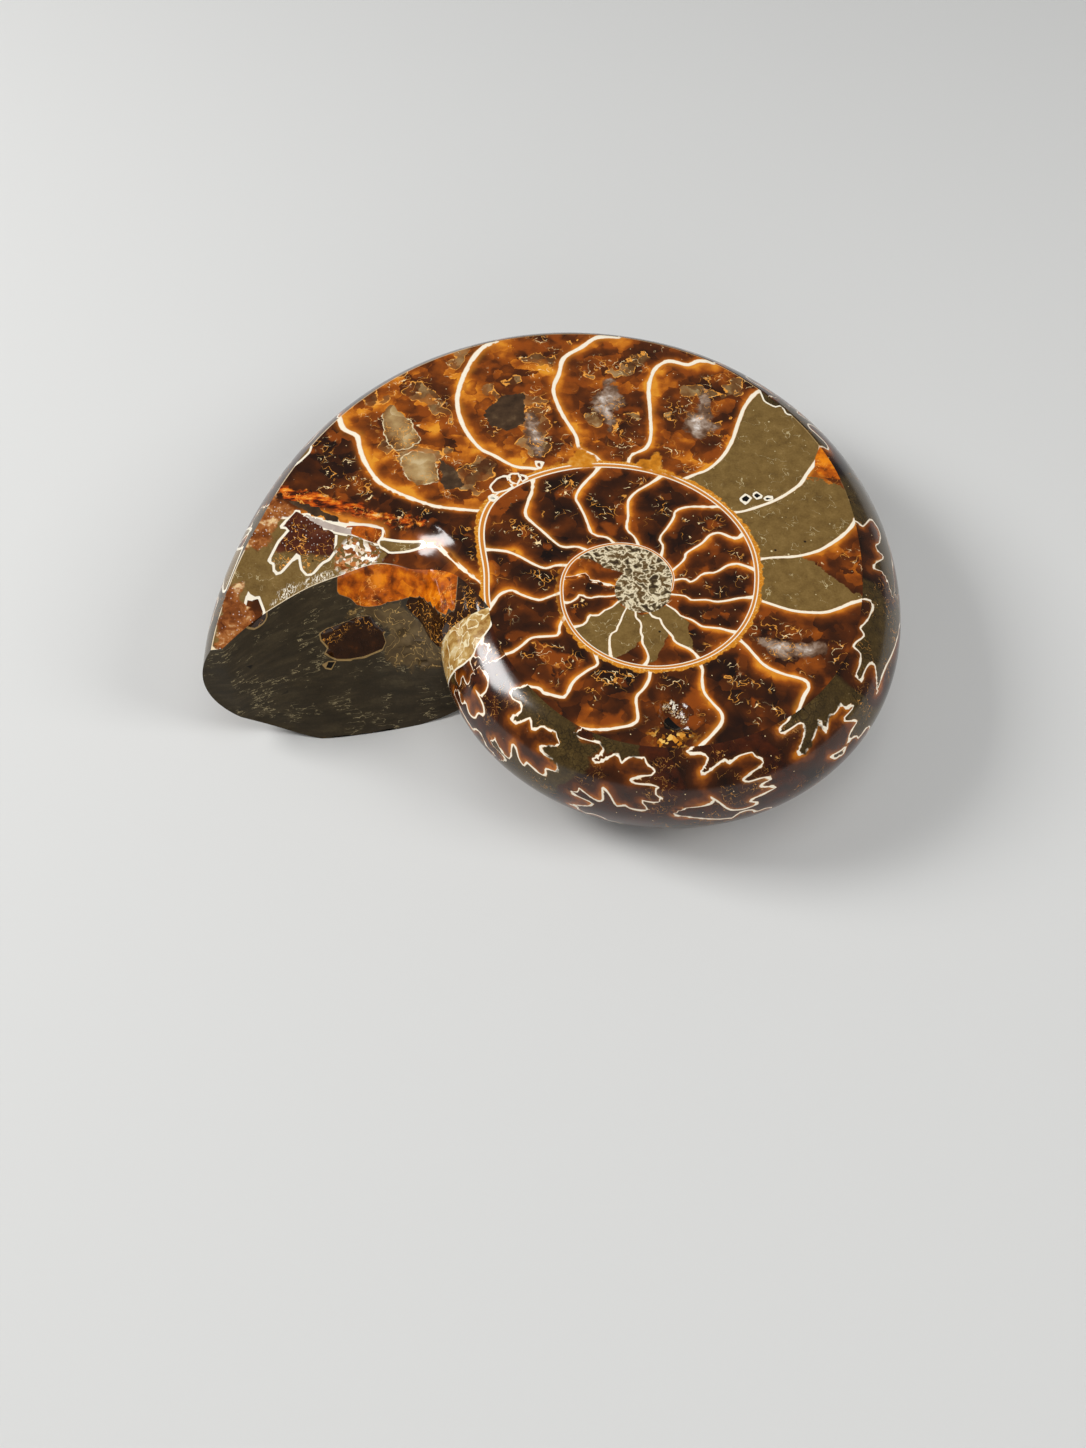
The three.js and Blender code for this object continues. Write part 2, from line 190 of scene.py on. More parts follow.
# The sutures, where the chamber walls meet the ground face, as [degrees, millimetres] from the inner
# turn outwards. The middle turn's angles are one turn on, and the outer turn's are two.
septa = dict(
    middle=[
        [[-189, 3.0], [-189.5, 4], [-192, 5], [-192, 5.7], [-197, 6.3], [-198.5, 6.8], [-195, 7.3],
         [-192, 7.8], [-192, 8.3], [-190, 8.7]],
        [[-165.5, 3.3], [-167, 4], [-170, 5], [-169, 5.8], [-171, 6.3], [-176, 6.8], [-171, 7.3],
         [-168, 8], [-168, 8.5], [-170, 8.9]],
        [[-150, 3.4], [-145.5, 4.2], [-147, 5], [-145, 5.8], [-147, 6.4], [-150.5, 6.8], [-146, 7.4],
         [-144.5, 8], [-145.5, 8.6], [-147, 9.2]],
        [[-127, 3.5], [-124, 4.1], [-121, 5], [-120.5, 5.7], [-119, 6.3], [-121.5, 6.9], [-120, 7.6],
         [-117, 8.4], [-114, 9.2], [-112, 9.7]],
        [[-108, 3.4], [-104, 3.8], [-96, 4.3], [-94, 5], [-95, 5.6], [-92.5, 6.3], [-93, 7], [-90, 7.9],
         [-88.5, 8.8], [-89.5, 9.5], [-92, 10.1]],
        [[-80, 3.6], [-75, 3.9], [-67, 4.2], [-68, 5], [-66.5, 6], [-65, 6.8], [-66, 7.5], [-63, 8.3],
         [-60, 9], [-58.5, 10], [-59, 10.6]],
        [[-39, 3.9], [-39.5, 4.5], [-42, 5.2], [-39, 6.2], [-38.5, 7], [-39, 7.8], [-36, 8.6],
         [-33, 9.5], [-31.5, 10.5], [-30, 11.2]],
        [[-11, 4.3], [-10, 4.6], [-15, 5.2], [-13, 6], [-11, 7], [-11.5, 8], [-9, 9.2], [-6, 10.5],
         [-4.5, 11.5]],
        [[22, 4.4], [19, 4.9], [12.5, 5.2], [13, 5.8], [18, 6.7], [18.5, 7.5], [17, 8.2], [18, 9],
         [20, 10], [19.5, 11], [18, 11.5], [12, 12]],
        [[39, 5.5], [42, 6.3], [46, 7.1], [45, 8.3], [44, 9.5], [45, 11], [42.5, 12], [37, 12.5],
         [34, 13], [35, 13.6]],
        [[65, 5.8], [68, 6.6], [73, 7.3], [73.5, 8], [71, 9.3], [69.5, 11], [70, 12], [66, 13],
         [60, 13.8], [55, 14.5], [52, 14.9]],
        [[92, 6.6], [95, 7.5], [99, 8.3], [99.5, 9.2], [97, 10.5], [96, 12], [95, 13], [91, 14.2],
         [87, 15], [83, 16], [80, 16.5]],
        [[114, 7.5], [116, 8.2], [122, 9], [124, 9.8], [122, 11], [120, 12.5], [119, 14], [118.5, 15],
         [115, 16], [110, 17], [106, 17.8], [103, 18]],
        [[137, 8.4], [139, 9.3], [144, 10.2], [145.5, 11], [144, 12.5], [142.5, 14], [141.5, 15.5],
         [140, 16.8], [135, 17.8], [130, 18.8], [126, 19.5]],
        [[157, 9], [159.5, 10], [164, 11], [163, 12.5], [161, 14], [160, 15.5], [160.5, 16.7],
         [162, 17.4]],
    ],
    outer=[
        [[-178, 9.4], [-174.5, 10.3], [-173, 11.3], [-175, 12.3], [-178, 13.5], [-180, 14.3],
         [-178, 15.5], [-174, 16.3], [-171, 17]],
        [[-158, 9.5], [-152, 10.3], [-147, 10.9], [-147.5, 11.5], [-150, 12.5], [-152, 13.7],
         [-150.5, 15], [-149.5, 16.3], [-150, 17.2]],
        [[-125, 10.4], [-118, 10.9], [-117.5, 11.3], [-120, 12.2], [-122, 13.5], [-122.5, 14.5],
         [-121.5, 16], [-122, 16.6], [-126, 17], [-129, 17.3], [-131, 17.1], [-134.4, 17.6]],
        [[-88, 11], [-89, 11.7], [-92, 13], [-95, 14], [-94.5, 15.5], [-94, 16.8], [-96, 17.5],
         [-100, 18], [-105, 18.6], [-111.6, 19]],
        [[-60, 11.3], [-61, 12], [-64, 13], [-66.5, 14.5], [-66, 16], [-65, 17.5], [-66.5, 18.6],
         [-71, 19.6], [-76, 20.5]],
        [[-33, 12], [-35, 13], [-37.5, 14.5], [-39, 16], [-38, 18], [-36, 20], [-37, 21], [-41, 21.3],
         [-46, 21.7]],
        [[-5.5, 12.6], [-7.5, 13.5], [-9.5, 15.5], [-10, 17], [-9, 19.5], [-7, 21], [-4.5, 22.5],
         [-3.3, 23.8]],
        [[18.5, 14], [17.5, 15], [15.5, 17.5], [15.5, 20], [17, 22], [19, 24], [21, 25.5], [22.7, 26.3]],
        [[48, 15.6], [44, 16.2], [41, 18.5], [39.5, 21], [39.5, 24], [41, 26], [42.5, 28.5], [44, 30],
         [44.6, 30.5]],
        [[73, 17.2], [68, 18.3], [65, 19.5], [63, 22], [63, 25], [64, 28], [64.5, 31], [63.5, 34],
         [61, 35]],
        [[93.5, 18.8], [92, 19.8], [87, 21], [85.5, 23], [86, 27], [86.5, 31], [85.5, 34], [83, 35.8],
         [79, 35.5], [77, 36.5], [74, 37]],
        [[102, 19.3], [104, 20.5], [107.5, 22], [107, 24], [108, 28], [107.5, 32], [105, 34.5],
         [103, 37], [99, 38.5], [96, 39.9], [92, 40.2]],
        [[120, 20.5], [124, 21.5], [128, 23], [130, 26], [131, 28], [129.5, 32], [126, 36], [120, 40],
         [116, 42], [113, 42.8]],
        [[147, 21.5], [150, 23], [152.5, 26], [153, 29], [152.5, 33], [150, 36], [147, 38.5], [145, 40],
         [145, 42], [143.5, 44]],
        [[178, 17.5], [172, 19.5], [165.5, 22.2], [162.2, 24.4], [163.4, 27.7], [164.5, 30.1],
         [161.3, 30.8], [162.9, 34.4], [164.8, 40.1], [166, 44]],
    ],
)
# The frilled part of some outer sutures, from the edge of the face down the rim, as [degrees along the
# coil, millimetres down]. The other sutures repeat the third one's shape.
rimLeaves = {
    1: [[570, 0], [569.9, 0.86], [567.7, 2.08], [566.9, 3.01], [567.1, 3.88], [568.6, 3.26],
         [570.9, 2.97], [573.1, 3.09], [574.8, 3.69], [575, 4.35], [574, 4.95], [571.6, 5.12],
         [574.5, 5.17], [577.4, 5.39], [579, 6.16], [576.8, 6.55], [576.4, 7.52], [573.6, 7.9],
         [570.9, 7.13], [569.5, 8], [565.9, 7.18], [564, 8.6]],
    2: [[585.6, 0], [583.9, 0.58], [581.8, 1.4], [581.8, 1.91], [583.9, 2.28], [586.9, 1.89],
         [588.6, 2.16], [588.3, 2.89], [586.6, 3.79], [589, 3.88], [590.9, 3.07], [592.7, 2.24],
         [594.8, 3.1], [597.1, 2.03], [599.5, 1.94], [601.6, 1.63], [602.5, 2.1], [604.1, 2.42],
         [603.5, 3.05], [598.8, 4.11], [600.4, 4.51], [604.4, 4.4], [605.2, 4.94], [606, 5.42],
         [604.8, 5.84], [602.2, 6.14], [602.8, 6.87], [601.3, 7.17], [598.9, 7], [596.4, 6.79],
         [596, 7.51], [594.1, 7.12], [592.4, 6.09], [590.7, 6.03], [591.4, 7.49], [590.3, 8.16],
         [587.5, 7.82], [584.8, 7.15], [584.5, 7.61], [583.1, 7.93], [585.2, 8.55], [589.9, 8.88],
         [583.2, 11.26], [586.5, 11.12]],
    3: [[608.4, 0.03], [608.2, 0.29], [606.5, 0.85], [608.9, 1.17], [611.8, 0.99], [615, 0.72],
         [616.5, 1.06], [616.1, 1.71], [614.3, 2.4], [613.9, 2.77], [616, 2.76], [618.1, 2.02],
         [620.2, 1.36], [621.2, 1.3], [621.6, 1.84], [622.2, 2.1], [623.5, 1.54], [625.1, 1.17],
         [626.9, 1.26], [628.4, 1.12], [629.2, 1.91], [631.1, 2.22], [630.7, 2.88], [627.7, 3.19],
         [625, 3.61], [626, 3.99], [630.5, 3.93], [632.4, 4.33], [631.2, 4.89], [633.1, 5.59],
         [632.1, 6.27], [629.4, 6.21], [628, 6.09], [629.9, 7.18], [629.1, 7.59], [625.6, 7.54],
         [624, 7.1], [622.1, 7.52], [620.2, 6.08], [617.9, 5.21], [618.5, 6.76], [617.8, 7.35],
         [615.9, 7.23], [611.9, 6.33], [611.8, 6.89], [609.5, 7.45], [610.4, 7.73], [616.4, 8.3],
         [609.2, 10.34], [612.4, 10.2]],
    4: [[644, 0], [640.9, 0.2], [639.7, 0.5], [640.8, 0.75], [643.7, 0.77], [645.4, 1.13], [644.6, 1.83],
         [642.6, 2.77], [644.1, 2.94], [646.7, 2.32], [649.9, 1.7], [650.4, 2.25], [653.3, 1.72],
         [657.2, 1.69], [657.7, 2.24], [659.2, 2.76], [658.8, 3.4], [656.2, 3.75], [653.1, 4.29],
         [654.4, 4.71], [657.6, 4.7], [660.4, 5.08], [659.8, 5.43], [657.7, 5.53], [657.2, 5.79],
         [661, 6.43], [660.7, 6.76], [657.5, 7.01], [654, 7.31], [656.8, 8.2], [653.5, 8.6],
         [649.7, 8.13], [646.6, 6.4], [644.9, 5.7], [645.3, 6.47], [641.9, 6.76], [638.5, 6.91],
         [635.6, 7.92], [638.6, 8.4], [642.2, 8.95]],
    5: [[674, 0], [670, 0.2], [667.7, 0.35], [666.3, 0.7], [666.5, 1.22], [669.6, 1.22], [672.7, 1.16],
         [673, 1.81], [670.7, 2.79], [668, 3.81], [670.1, 4.33], [671.6, 3.68], [673.8, 3.26],
         [677.2, 2.06], [678.1, 2.09], [677.2, 2.77], [677.4, 3.71], [680.2, 2.39], [682, 2.7],
         [685.7, 2.36], [685.3, 3.23], [687.8, 3.49], [687.3, 4.06], [683.1, 4.04], [686.8, 5.56],
         [683.5, 6.03], [681, 7.2], [676, 6.6]],
    6: [[716.7, 0], [717.6, 0.81], [716.8, 1.46], [714.4, 1.45], [710, 0.8], [707.7, 0.3], [706.4, 0.96],
         [704.9, 0.81], [702.8, 0.3], [700.9, 0.2], [700.9, 0.75], [700, 1.38], [697.3, 1.69],
         [694.3, 1.83], [693.9, 2.87], [698, 2.73], [700.7, 3.07], [699.9, 3.79], [695.6, 5.67],
         [700.1, 5.26], [703.4, 5.3]],
    7: [[742.7, 0], [741.4, 0.52], [740.3, 0.83], [741.3, 1.6], [743.2, 2.82], [742.3, 3.49],
         [740, 4.08], [736.8, 3.39], [735.4, 2.46], [733.6, 2.78], [732.8, 3.64], [731.4, 2.89],
         [729.6, 1.81], [727.6, 1.7], [727.7, 2.88], [725.4, 3.77], [722.1, 4.51], [722.6, 5.4]],
}
# Lengths of the added leaves are shares of leafSize times the rim's radius.
frill = dict(
    leafSize=0.29, leafLength=0.52, leafWidth=0.44, halfTurn=2.62, tilt=0.35, tiltSpread=(0.6, 1.2),
    lobes=3.5, lobeStart=0.3, lobeDepth=0.42, wave=0.08, spacing=1.12, lead=0.45, spike=0.5,
    pointsPerLeaf=42, sizeSpread=0.16, seed=11, reach=5.2, firstDrawn=15, pattern=3, patternRadius=24.2,
    patternStretch=0.82,
    barbs=[[-0.3, -0.06], [-0.55, -0.09], [-0.35, -0.01], [-1, 0.03], [-0.3, 0.05], [-0.5, 0.12], [0, 0.09]],
)


def smoothLine(points, pieces=5):  # rounds a drawn line through its points
    points = np.array(points, float)
    places = np.arange(len(points))
    fine = np.linspace(0, len(points) - 1, (len(points) - 1) * pieces + 1)
    return np.stack([along(np.stack([places, points[:, axis]], 1), fine) for axis in (0, 1)], 1)


def faceSutures():
    lines = [[[angle + 360, radius] for angle, radius in line] for line in septa["middle"]]
    lines += [[[angle + 720, radius] for angle, radius in line] for line in septa["outer"]]
    found = []
    for line in lines:
        line[0][1] = float(wallAt(line[0][0] - 360)) - 0.02
        line[-1][1] = float(wallAt(np.float64(line[-1][0]))) + 0.02
        found.append(smoothLine(line))
    return found


def rimAdvance(angle):  # distance run along the rim, from the last turn's start
    steps = np.arange(innerAngle, mouthAngle + 1)
    radii = along(shell["rim"], steps) * innerTurns(steps)
    run = np.concatenate([[0], np.cumsum((radii[1:] + radii[:-1]) / 2 * np.radians(1))])
    return np.interp(angle, steps, run)


def rimSutures(edgeAngles):
    chance = np.random.default_rng(frill["seed"])
    found = []
    for index, edgeAngle in enumerate(edgeAngles):
        radius = float(along(shell["rim"], edgeAngle) * innerTurns(edgeAngle))
        drawn = index - frill["firstDrawn"]
        leaves = np.array(rimLeaves.get(drawn, rimLeaves[frill["pattern"]]), float)
        start = float(rimAdvance(edgeAngle))
        if drawn in rimLeaves:
            leaves = np.stack([rimAdvance(leaves[:, 0]) - rimAdvance(leaves[0, 0]), leaves[:, 1]], 1)
        else:
            share = radius / frill["patternRadius"]
            leaves = np.stack([np.radians(leaves[:, 0] - leaves[0, 0]) * radius * frill["patternStretch"],
                               leaves[:, 1] * share], 1)
        leaves[0] = [0, -0.5]
        points = smoothLine(leaves, 3).tolist()
        size = frill["leafSize"] * radius
        reach = points[-1][1] / size + frill["spacing"] * frill["lead"]
        while reach < frill["reach"]:
            grow = 1 + frill["sizeSpread"] * chance.uniform(-1, 1)
            turn = np.linspace(-frill["halfTurn"], frill["halfTurn"], frill["pointsPerLeaf"])
            lobes = np.abs(np.cos(frill["lobes"] * turn + frill["lobeStart"])) ** 0.5
            swell = 1 - frill["lobeDepth"] * (1 - lobes)
            swell = swell * (1 + frill["wave"] * np.sin(2 * turn + chance.uniform(0, 6)))
            outX = frill["leafLength"] * grow * swell * np.cos(turn)
            outY = frill["leafWidth"] * grow * swell * np.sin(turn)
            tilt = frill["tilt"] * chance.uniform(*frill["tiltSpread"])
            leafX = frill["leafLength"] * grow + outX * math.cos(tilt) - outY * math.sin(tilt)
            leafY = reach + outX * math.sin(tilt) + outY * math.cos(tilt)
            points += (np.stack([leafX, leafY], 1) * size).tolist()
            middle = reach + frill["spacing"] / 2
            barbs = np.array(frill["barbs"]) * [frill["spike"], 1] + [0, middle]
            points += (barbs * size).tolist()
            reach += frill["spacing"]
        found.append(np.array(points) + [start, 0])
    return found


def lineDistance(points, line):
    best = np.full(len(points), np.inf)
    for start, end in zip(line[:-1], line[1:]):
        step = end - start
        share = np.clip(((points - start) @ step) / max(step @ step, 1e-12), 0, 1)
        gap = points - start - share[:, None] * step
        best = np.minimum(best, np.einsum("ij,ij->i", gap, gap))
    return np.sqrt(best)


def crossings(growth, across, line):  # how often a ray towards later growth meets the line
    first, last = line[0], line[-1]
    ends = np.concatenate([[[first[0], -99]], line, [[last[0], 999]]])
    count = np.zeros(len(growth), int)
    for start, end in zip(ends[:-1], ends[1:]):
        spans = (start[1] > across) != (end[1] > across)
        if spans.any() and end[1] != start[1]:
            meet = start[0] + (across - start[1]) / (end[1] - start[1]) * (end[0] - start[0])
            count += spans & (meet > growth)
    return count


def chamberField(growth, across, places, lines, placedLines, reach, far=30.0):
    # the chamber with its passed share, and the distance between its two sutures
    passed = np.zeros(len(growth), int)
    behind = np.full(len(growth), far)
    ahead = np.full(len(growth), far)
    for line, placed in zip(lines, placedLines):
        low, high = line[:, 0].min(), line[:, 0].max()
        isPast = growth > high
        near = np.flatnonzero((growth > low - reach) & (growth < high + reach))
        isPast[near] = crossings(growth[near], across[near], line) % 2 == 0
        gap = lineDistance(places[near], placed)
        after = isPast[near]
        behind[near[after]] = gap[after]
        nextOne = ~after & (ahead[near] == far)
        ahead[near[nextOne]] = gap[nextOne]
        passed += isPast
    return passed + behind / (behind + ahead), behind + ahead


# Patches: how each is filled, how bright its outline is, 0 for none, and its corners. On the face these
# are [degrees, millimetres from the centre], on the rim [degrees along the coil, millimetres down] and on
# the broken end [millimetres from the centre, height].
fills = dict(pale=1, leaf=2, maroon=3, black=4, stone=5, orange=6, polished=7, druse=8, nacre=9, swirl=10,
             cloud=11, pocket=12, star=13, gold=14, fire=15, mottle=16, hatch=17, olive=18, grit=19)
patches = dict(
    face=[
        ("maroon", 1, [[163.5, 40.5], [167.3, 41.5], [167, 40.4], [169.6, 41.2], [173.3, 41.8],
         [173.3, 41.2], [175.1, 40.9], [174.5, 40.2], [170.5, 38.8], [173.1, 38.2], [174, 37.5],
         [173.7, 36.9], [171.2, 36.1], [170.2, 35.4], [168.4, 35], [165.1, 35.4], [164.6, 37.7]]),
        ("orange", 0.8, [[164.6, 34.9], [163.2, 34.6], [161.8, 32.7], [160.9, 30.7], [161.8, 30.5],
         [164.6, 30.7], [164.6, 32.5]]),
        ("leaf", 1, [[-174.4, 43.4], [-177.4, 43.6], [-178.5, 44.2], [-179.1, 43.6], [-181.3, 43.4],
         [-180.1, 42.8], [-181.1, 42.3], [-178.5, 41.5], [-176, 41.6]]),
        # the pale patch is a painted reflection: a pinkish band where the face bends down into the bevel
        ("pale", 0.8, [[163.6, 40.5], [163.7, 38.5], [163.8, 36.2], [163.4, 34.1], [162.8, 32],
         [162.6, 30.7], [163.7, 30.4], [164.4, 31.7], [164.7, 33.6], [165.2, 35.4], [165.3, 37.3],
         [164.8, 39]]),
        ("stone", 1, [[163, 30.7], [162.4, 28.4], [161.5, 25.9], [162.4, 25.1], [164.8, 27.8],
         [165.7, 29.1], [164.9, 30], [164.7, 30.8]]),
        ("druse", 0, [[168, 35], [166.1, 34.4], [164.4, 33.3], [164.4, 31], [167.9, 29.8], [171, 31.8],
         [173.7, 33.4], [172.2, 34.7]]),
        ("hatch", 0, [[-179.7, 40.7], [176.9, 37.9], [173.2, 34.2], [172.1, 34.1], [174.2, 36.6],
         [-182.5, 39.7]]),
        ("olive", 0.7, [[63.7, 34.8], [63.7, 34.3], [61.3, 32.6], [58.7, 32.4], [57.7, 33.1],
         [55.7, 32.1], [53.4, 32.6], [53.7, 33.4], [56, 35], [60, 36]]),
        ("orange", 0, [[45.7, 31.6], [40.8, 31.4], [33.2, 30.2], [33.4, 28.7], [36.3, 27.5],
         [40.3, 26.8], [43.2, 28.5]]),
        # the black patch over the crystal hollow is its painted shade
        ("black", 0, [[-84.2, 16.3], [-82.4, 15.9], [-79.3, 17.6], [-80.3, 18.1], [-85.1, 18.1],
         [-85.3, 17.2]]),
        ("grit", 0, [[-88.9, 18.3], [-84, 18.3], [-79.9, 18.5], [-76.5, 19.2], [-81, 20], [-85.2, 20.8],
         [-88, 20]]),
        ("pocket", 0, [[162.4, 42], [161.4, 42.1], [161.4, 40.5], [162, 38.1], [162.4, 36.5],
         [162.9, 35.4], [163.6, 36.4], [163.7, 38.7], [163, 41]]),
        ("mottle", 0, [[161.3, 44.6], [162.5, 41.3], [163.7, 40.5], [166.4, 41.8], [169.8, 42],
         [171.5, 42.6], [172.6, 45], [167.4, 45], [163.8, 45]]),
        ("mottle", 0, [[-180.2, 42.7], [-178, 41.4], [-173.9, 43], [-170.1, 45.9], [-169.9, 46.8],
         [-174.7, 46.4], [-180.2, 45.9], [176.7, 45.1], [177.5, 43.9], [-179.2, 43.9]]),
        ("fire", 0, [[159.7, 43.8], [159.4, 40.8], [158.7, 36.9], [158.5, 32.9], [157.9, 30.3],
         [156.8, 26.3], [158.5, 26.2], [159.8, 29.9], [160.6, 32.4], [161.8, 36.1], [162.3, 40.4],
         [162.3, 42.6]]),
        ("cloud", 0, [[138.6, 40.1], [135.5, 40.7], [136.8, 35.9], [138.7, 33.7], [141.4, 33.8],
         [144, 35], [141.8, 37.4]]),
        ("cloud", 0, [[144.6, 33.6], [141.5, 33], [139.4, 30.8], [145.2, 27.9], [149.3, 29.5],
         [147.7, 31.8]]),
        ("pocket", 0, [[139.8, 30.2], [139.7, 26.8], [143.3, 24.8], [147.4, 26.6]]),
        ("pocket", 0, [[123.2, 32.6], [118.2, 33.5], [113.3, 32.8], [117.9, 28], [122.6, 28.2],
         [125.1, 30.3]]),
        ("star", 0, [[116, 30.3], [113.8, 29.4], [116.5, 22.6], [120.4, 22.3], [120.8, 25.2]]),
        ("star", 0, [[101.1, 28.6], [97.3, 31], [94.6, 34.1], [93.7, 30.8], [91.4, 28], [95.4, 27],
         [94.8, 24.7], [97.4, 23.7], [98.3, 26.8]]),
        ("star", 0, [[77.4, 26.4], [75.3, 27.9], [74.7, 32], [71.7, 30.7], [71.6, 28.3], [67.8, 26.6],
         [71.4, 23.5], [75.9, 24.2]]),
        ("star", 0, [[-28.6, 13.2], [-23.7, 16.9], [-19.4, 20.8], [-25.2, 20.7], [-31, 18.3],
         [-34.3, 15.4]]),
        ("gold", 0, [[93, 18.9], [85.8, 19.5], [83.2, 21.8], [79.9, 18.3], [75.5, 16.8], [83.8, 17.1]]),
        ("gold", 0, [[116.7, 20.8], [109.4, 21.4], [106.7, 22.5], [102.4, 19.6], [105.7, 18.6],
         [113.5, 19.3]]),
        ("leaf", 0.8, [[138.5, 22.7], [134.9, 22.9], [131.9, 22.6], [133, 21.8], [134, 20.5],
         [139.7, 21.6]]),
        ("leaf", 0.8, [[131.5, 22.6], [128.9, 21.9], [129.7, 21.1], [133, 20.5], [132.7, 21.7]]),
        ("leaf", 0.8, [[128.7, 21.6], [127, 20.6], [130.9, 20.6]]),
        ("black", 0.8, [[141.5, 21.8], [139.9, 21.5], [140, 20.9], [142.3, 20.9], [142.7, 21.3]]),
        ("leaf", 0.8, [[122, 22.3], [119.8, 21.7], [122.1, 21], [122.6, 21.5]]),
        ("black", 0.8, [[48.6, 17.4], [48.7, 18.5], [46, 18.5], [45.3, 17.3]]),
        ("black", 0.6, [[46.7, 19], [46.7, 19.6], [43.2, 19.6], [44.4, 18.7]]),
        ("black", 0.7, [[42.6, 19.3], [42.9, 19.9], [41.4, 20.5], [40.6, 20.1], [41.3, 19.5]]),
        ("stone", 0.9, [[156.4, 44.5], [154, 44.5], [152, 44.5], [150.5, 44.4], [150.8, 43.5],
         [151.9, 43.2], [154, 43.4], [155.4, 43.7]]),
    ],
    rim=[
        ("olive", 0, [[596.6, 0.17], [607.9, -0.3], [606.5, 0.85], [608.9, 1.17], [611.8, 0.99],
         [615, 0.72], [616.5, 1.06], [616.1, 1.71], [613.9, 2.77], [614.8, 3.21], [613.4, 4.25],
         [610.8, 5.06], [608.8, 6.27], [606.2, 7.39], [602.9, 6.86], [604.8, 5.84], [606, 5.42],
         [605.2, 4.94], [600.4, 4.51], [598.8, 4.11], [603.5, 3.05], [604.1, 2.42], [602.5, 2.1],
         [601.6, 1.63], [597.8, 1.95], [595.9, 1.37]]),
        ("olive", 0, [[612.3, -0.5], [626.9, -0.5], [627, 1.11], [623.5, 1.54], [622.2, 2.1],
         [621.6, 1.84], [620.8, 1.23], [618.1, 2.02], [616.8, 1.86], [616.5, 1.06], [615, 0.72],
         [613.1, 0.86]]),
        ("olive", 0, [[682.6, -0.5], [671.4, -0.5], [669.6, 0.91], [672.7, 1.22], [671.9, 2.53],
         [669.4, 3.52], [670.5, 4.47], [674, 3.08], [677.4, 2.11], [677.4, 3.53], [680.4, 2.46],
         [685.6, 2.5], [684.9, 0.64]]),
        ("nacre", 0.8, [[545, 4.2], [545, 3], [545, 2.1], [548.7, -0.5], [551.1, -0.5], [556.5, 0.2],
         [559, 1.4], [561.2, 2.7], [562.8, 3.2], [562.5, 4.8], [561.3, 6.1], [560.1, 9], [558.8, 12.3],
         [556, 17], [540, 18]]),
        ("stone", 0.9, [[884, 6.5], [888, 2.4], [890, 1], [889, 4.8], [893, 0.9], [896, 0.5],
         [899.5, 0.4], [898.5, 1.5], [894.9, 3.7], [891, 7.9], [894.2, 7.3], [898.1, 6.5], [896, 9],
         [889, 10]]),
    ],
    broken=[
        ("orange", 0.15, [[34.1, 17], [34, 12.6], [32.6, 11.8], [31.9, 11], [30.8, 10.6], [29.5, 10.6],
         [28.6, 10.9], [27.3, 11.2], [26.3, 11.6], [25.2, 11.8], [24.1, 12.5], [23, 13.4], [21.7, 14.3],
         [20.7, 15.3], [20, 17]]),
        ("polished", 0, [[26.3, 11.6], [26.5, 10.7], [25.5, 10.1], [24.2, 9.8], [23.1, 9.9],
         [21.8, 10.6], [20.1, 12], [18.7, 13.1], [17.8, 15.2], [17.2, 17], [20, 17], [20.7, 15.3],
         [21.7, 14.3], [23, 13.4], [24.1, 12.5], [25.2, 11.8]]),
        ("polished", 0.5, [[31.8, 10], [30.5, 9.8], [29.9, 9.1], [28.8, 8.4], [29.1, 8.2], [28.8, 7.5],
         [29.2, 6.9], [31.2, 6.5], [32.9, 6.6], [34.4, 6.9], [35.6, 7.7], [35.2, 8.1], [35.9, 9],
         [36, 9.6], [35.2, 9.8], [33.3, 9.9]]),
        ("polished", 0.6, [[43.3, 17], [42.2, 17], [41.3, 17], [41.2, 13.4], [41.8, 13], [42.5, 13.1],
         [43.2, 13.8]]),
        ("black", 0.3, [[36, 6.8], [35.3, 6.9], [34.5, 6.8], [35.1, 6.2], [35.7, 6.4]]),
        ("black", 0.3, [[28.2, 7], [26.9, 7.2], [25.4, 7.4], [25.6, 6.8], [27.2, 6.5]]),
        ("black", 0, [[44, 9.7], [43.3, 9.4], [43.6, 9.1]]),
        ("black", 0, [[41.1, 4.8], [40.2, 5.2], [40.2, 4.9]]),
        ("black", 0.3, [[24.4, 7.8], [23, 8.4], [22.8, 7.9], [23.5, 7.6]]),
        ("black", 0.4, [[27.6, 8.6], [26.6, 8.8], [25.7, 8.3], [24.5, 8.7], [24.4, 8.3], [25.7, 7.8],
         [27.2, 7.7], [27.8, 8.2]]),
        ("black", 0, [[25.3, 6], [24.2, 6.2], [24, 5.7], [25.2, 5.2]]),
        ("swirl", 0, [[31.9, 10.8], [30.8, 10.5], [29.5, 10.6], [28.6, 10.8], [27.3, 11.2], [26.5, 10.7],
         [25.5, 10.1], [24.2, 9.8], [23.1, 9.9], [21.4, 10.7], [18.8, 12.8], [20.2, 10.3], [21.8, 7.8],
         [23.1, 5.4], [25.2, 5.1], [28, 5.2], [29.2, 6.7], [28.8, 7.5], [29.1, 8.2], [28.8, 8.4],
         [29.9, 9.1], [30.4, 9.8], [31.8, 10], [33.1, 10.2], [32.4, 10.6]]),
    ],
)


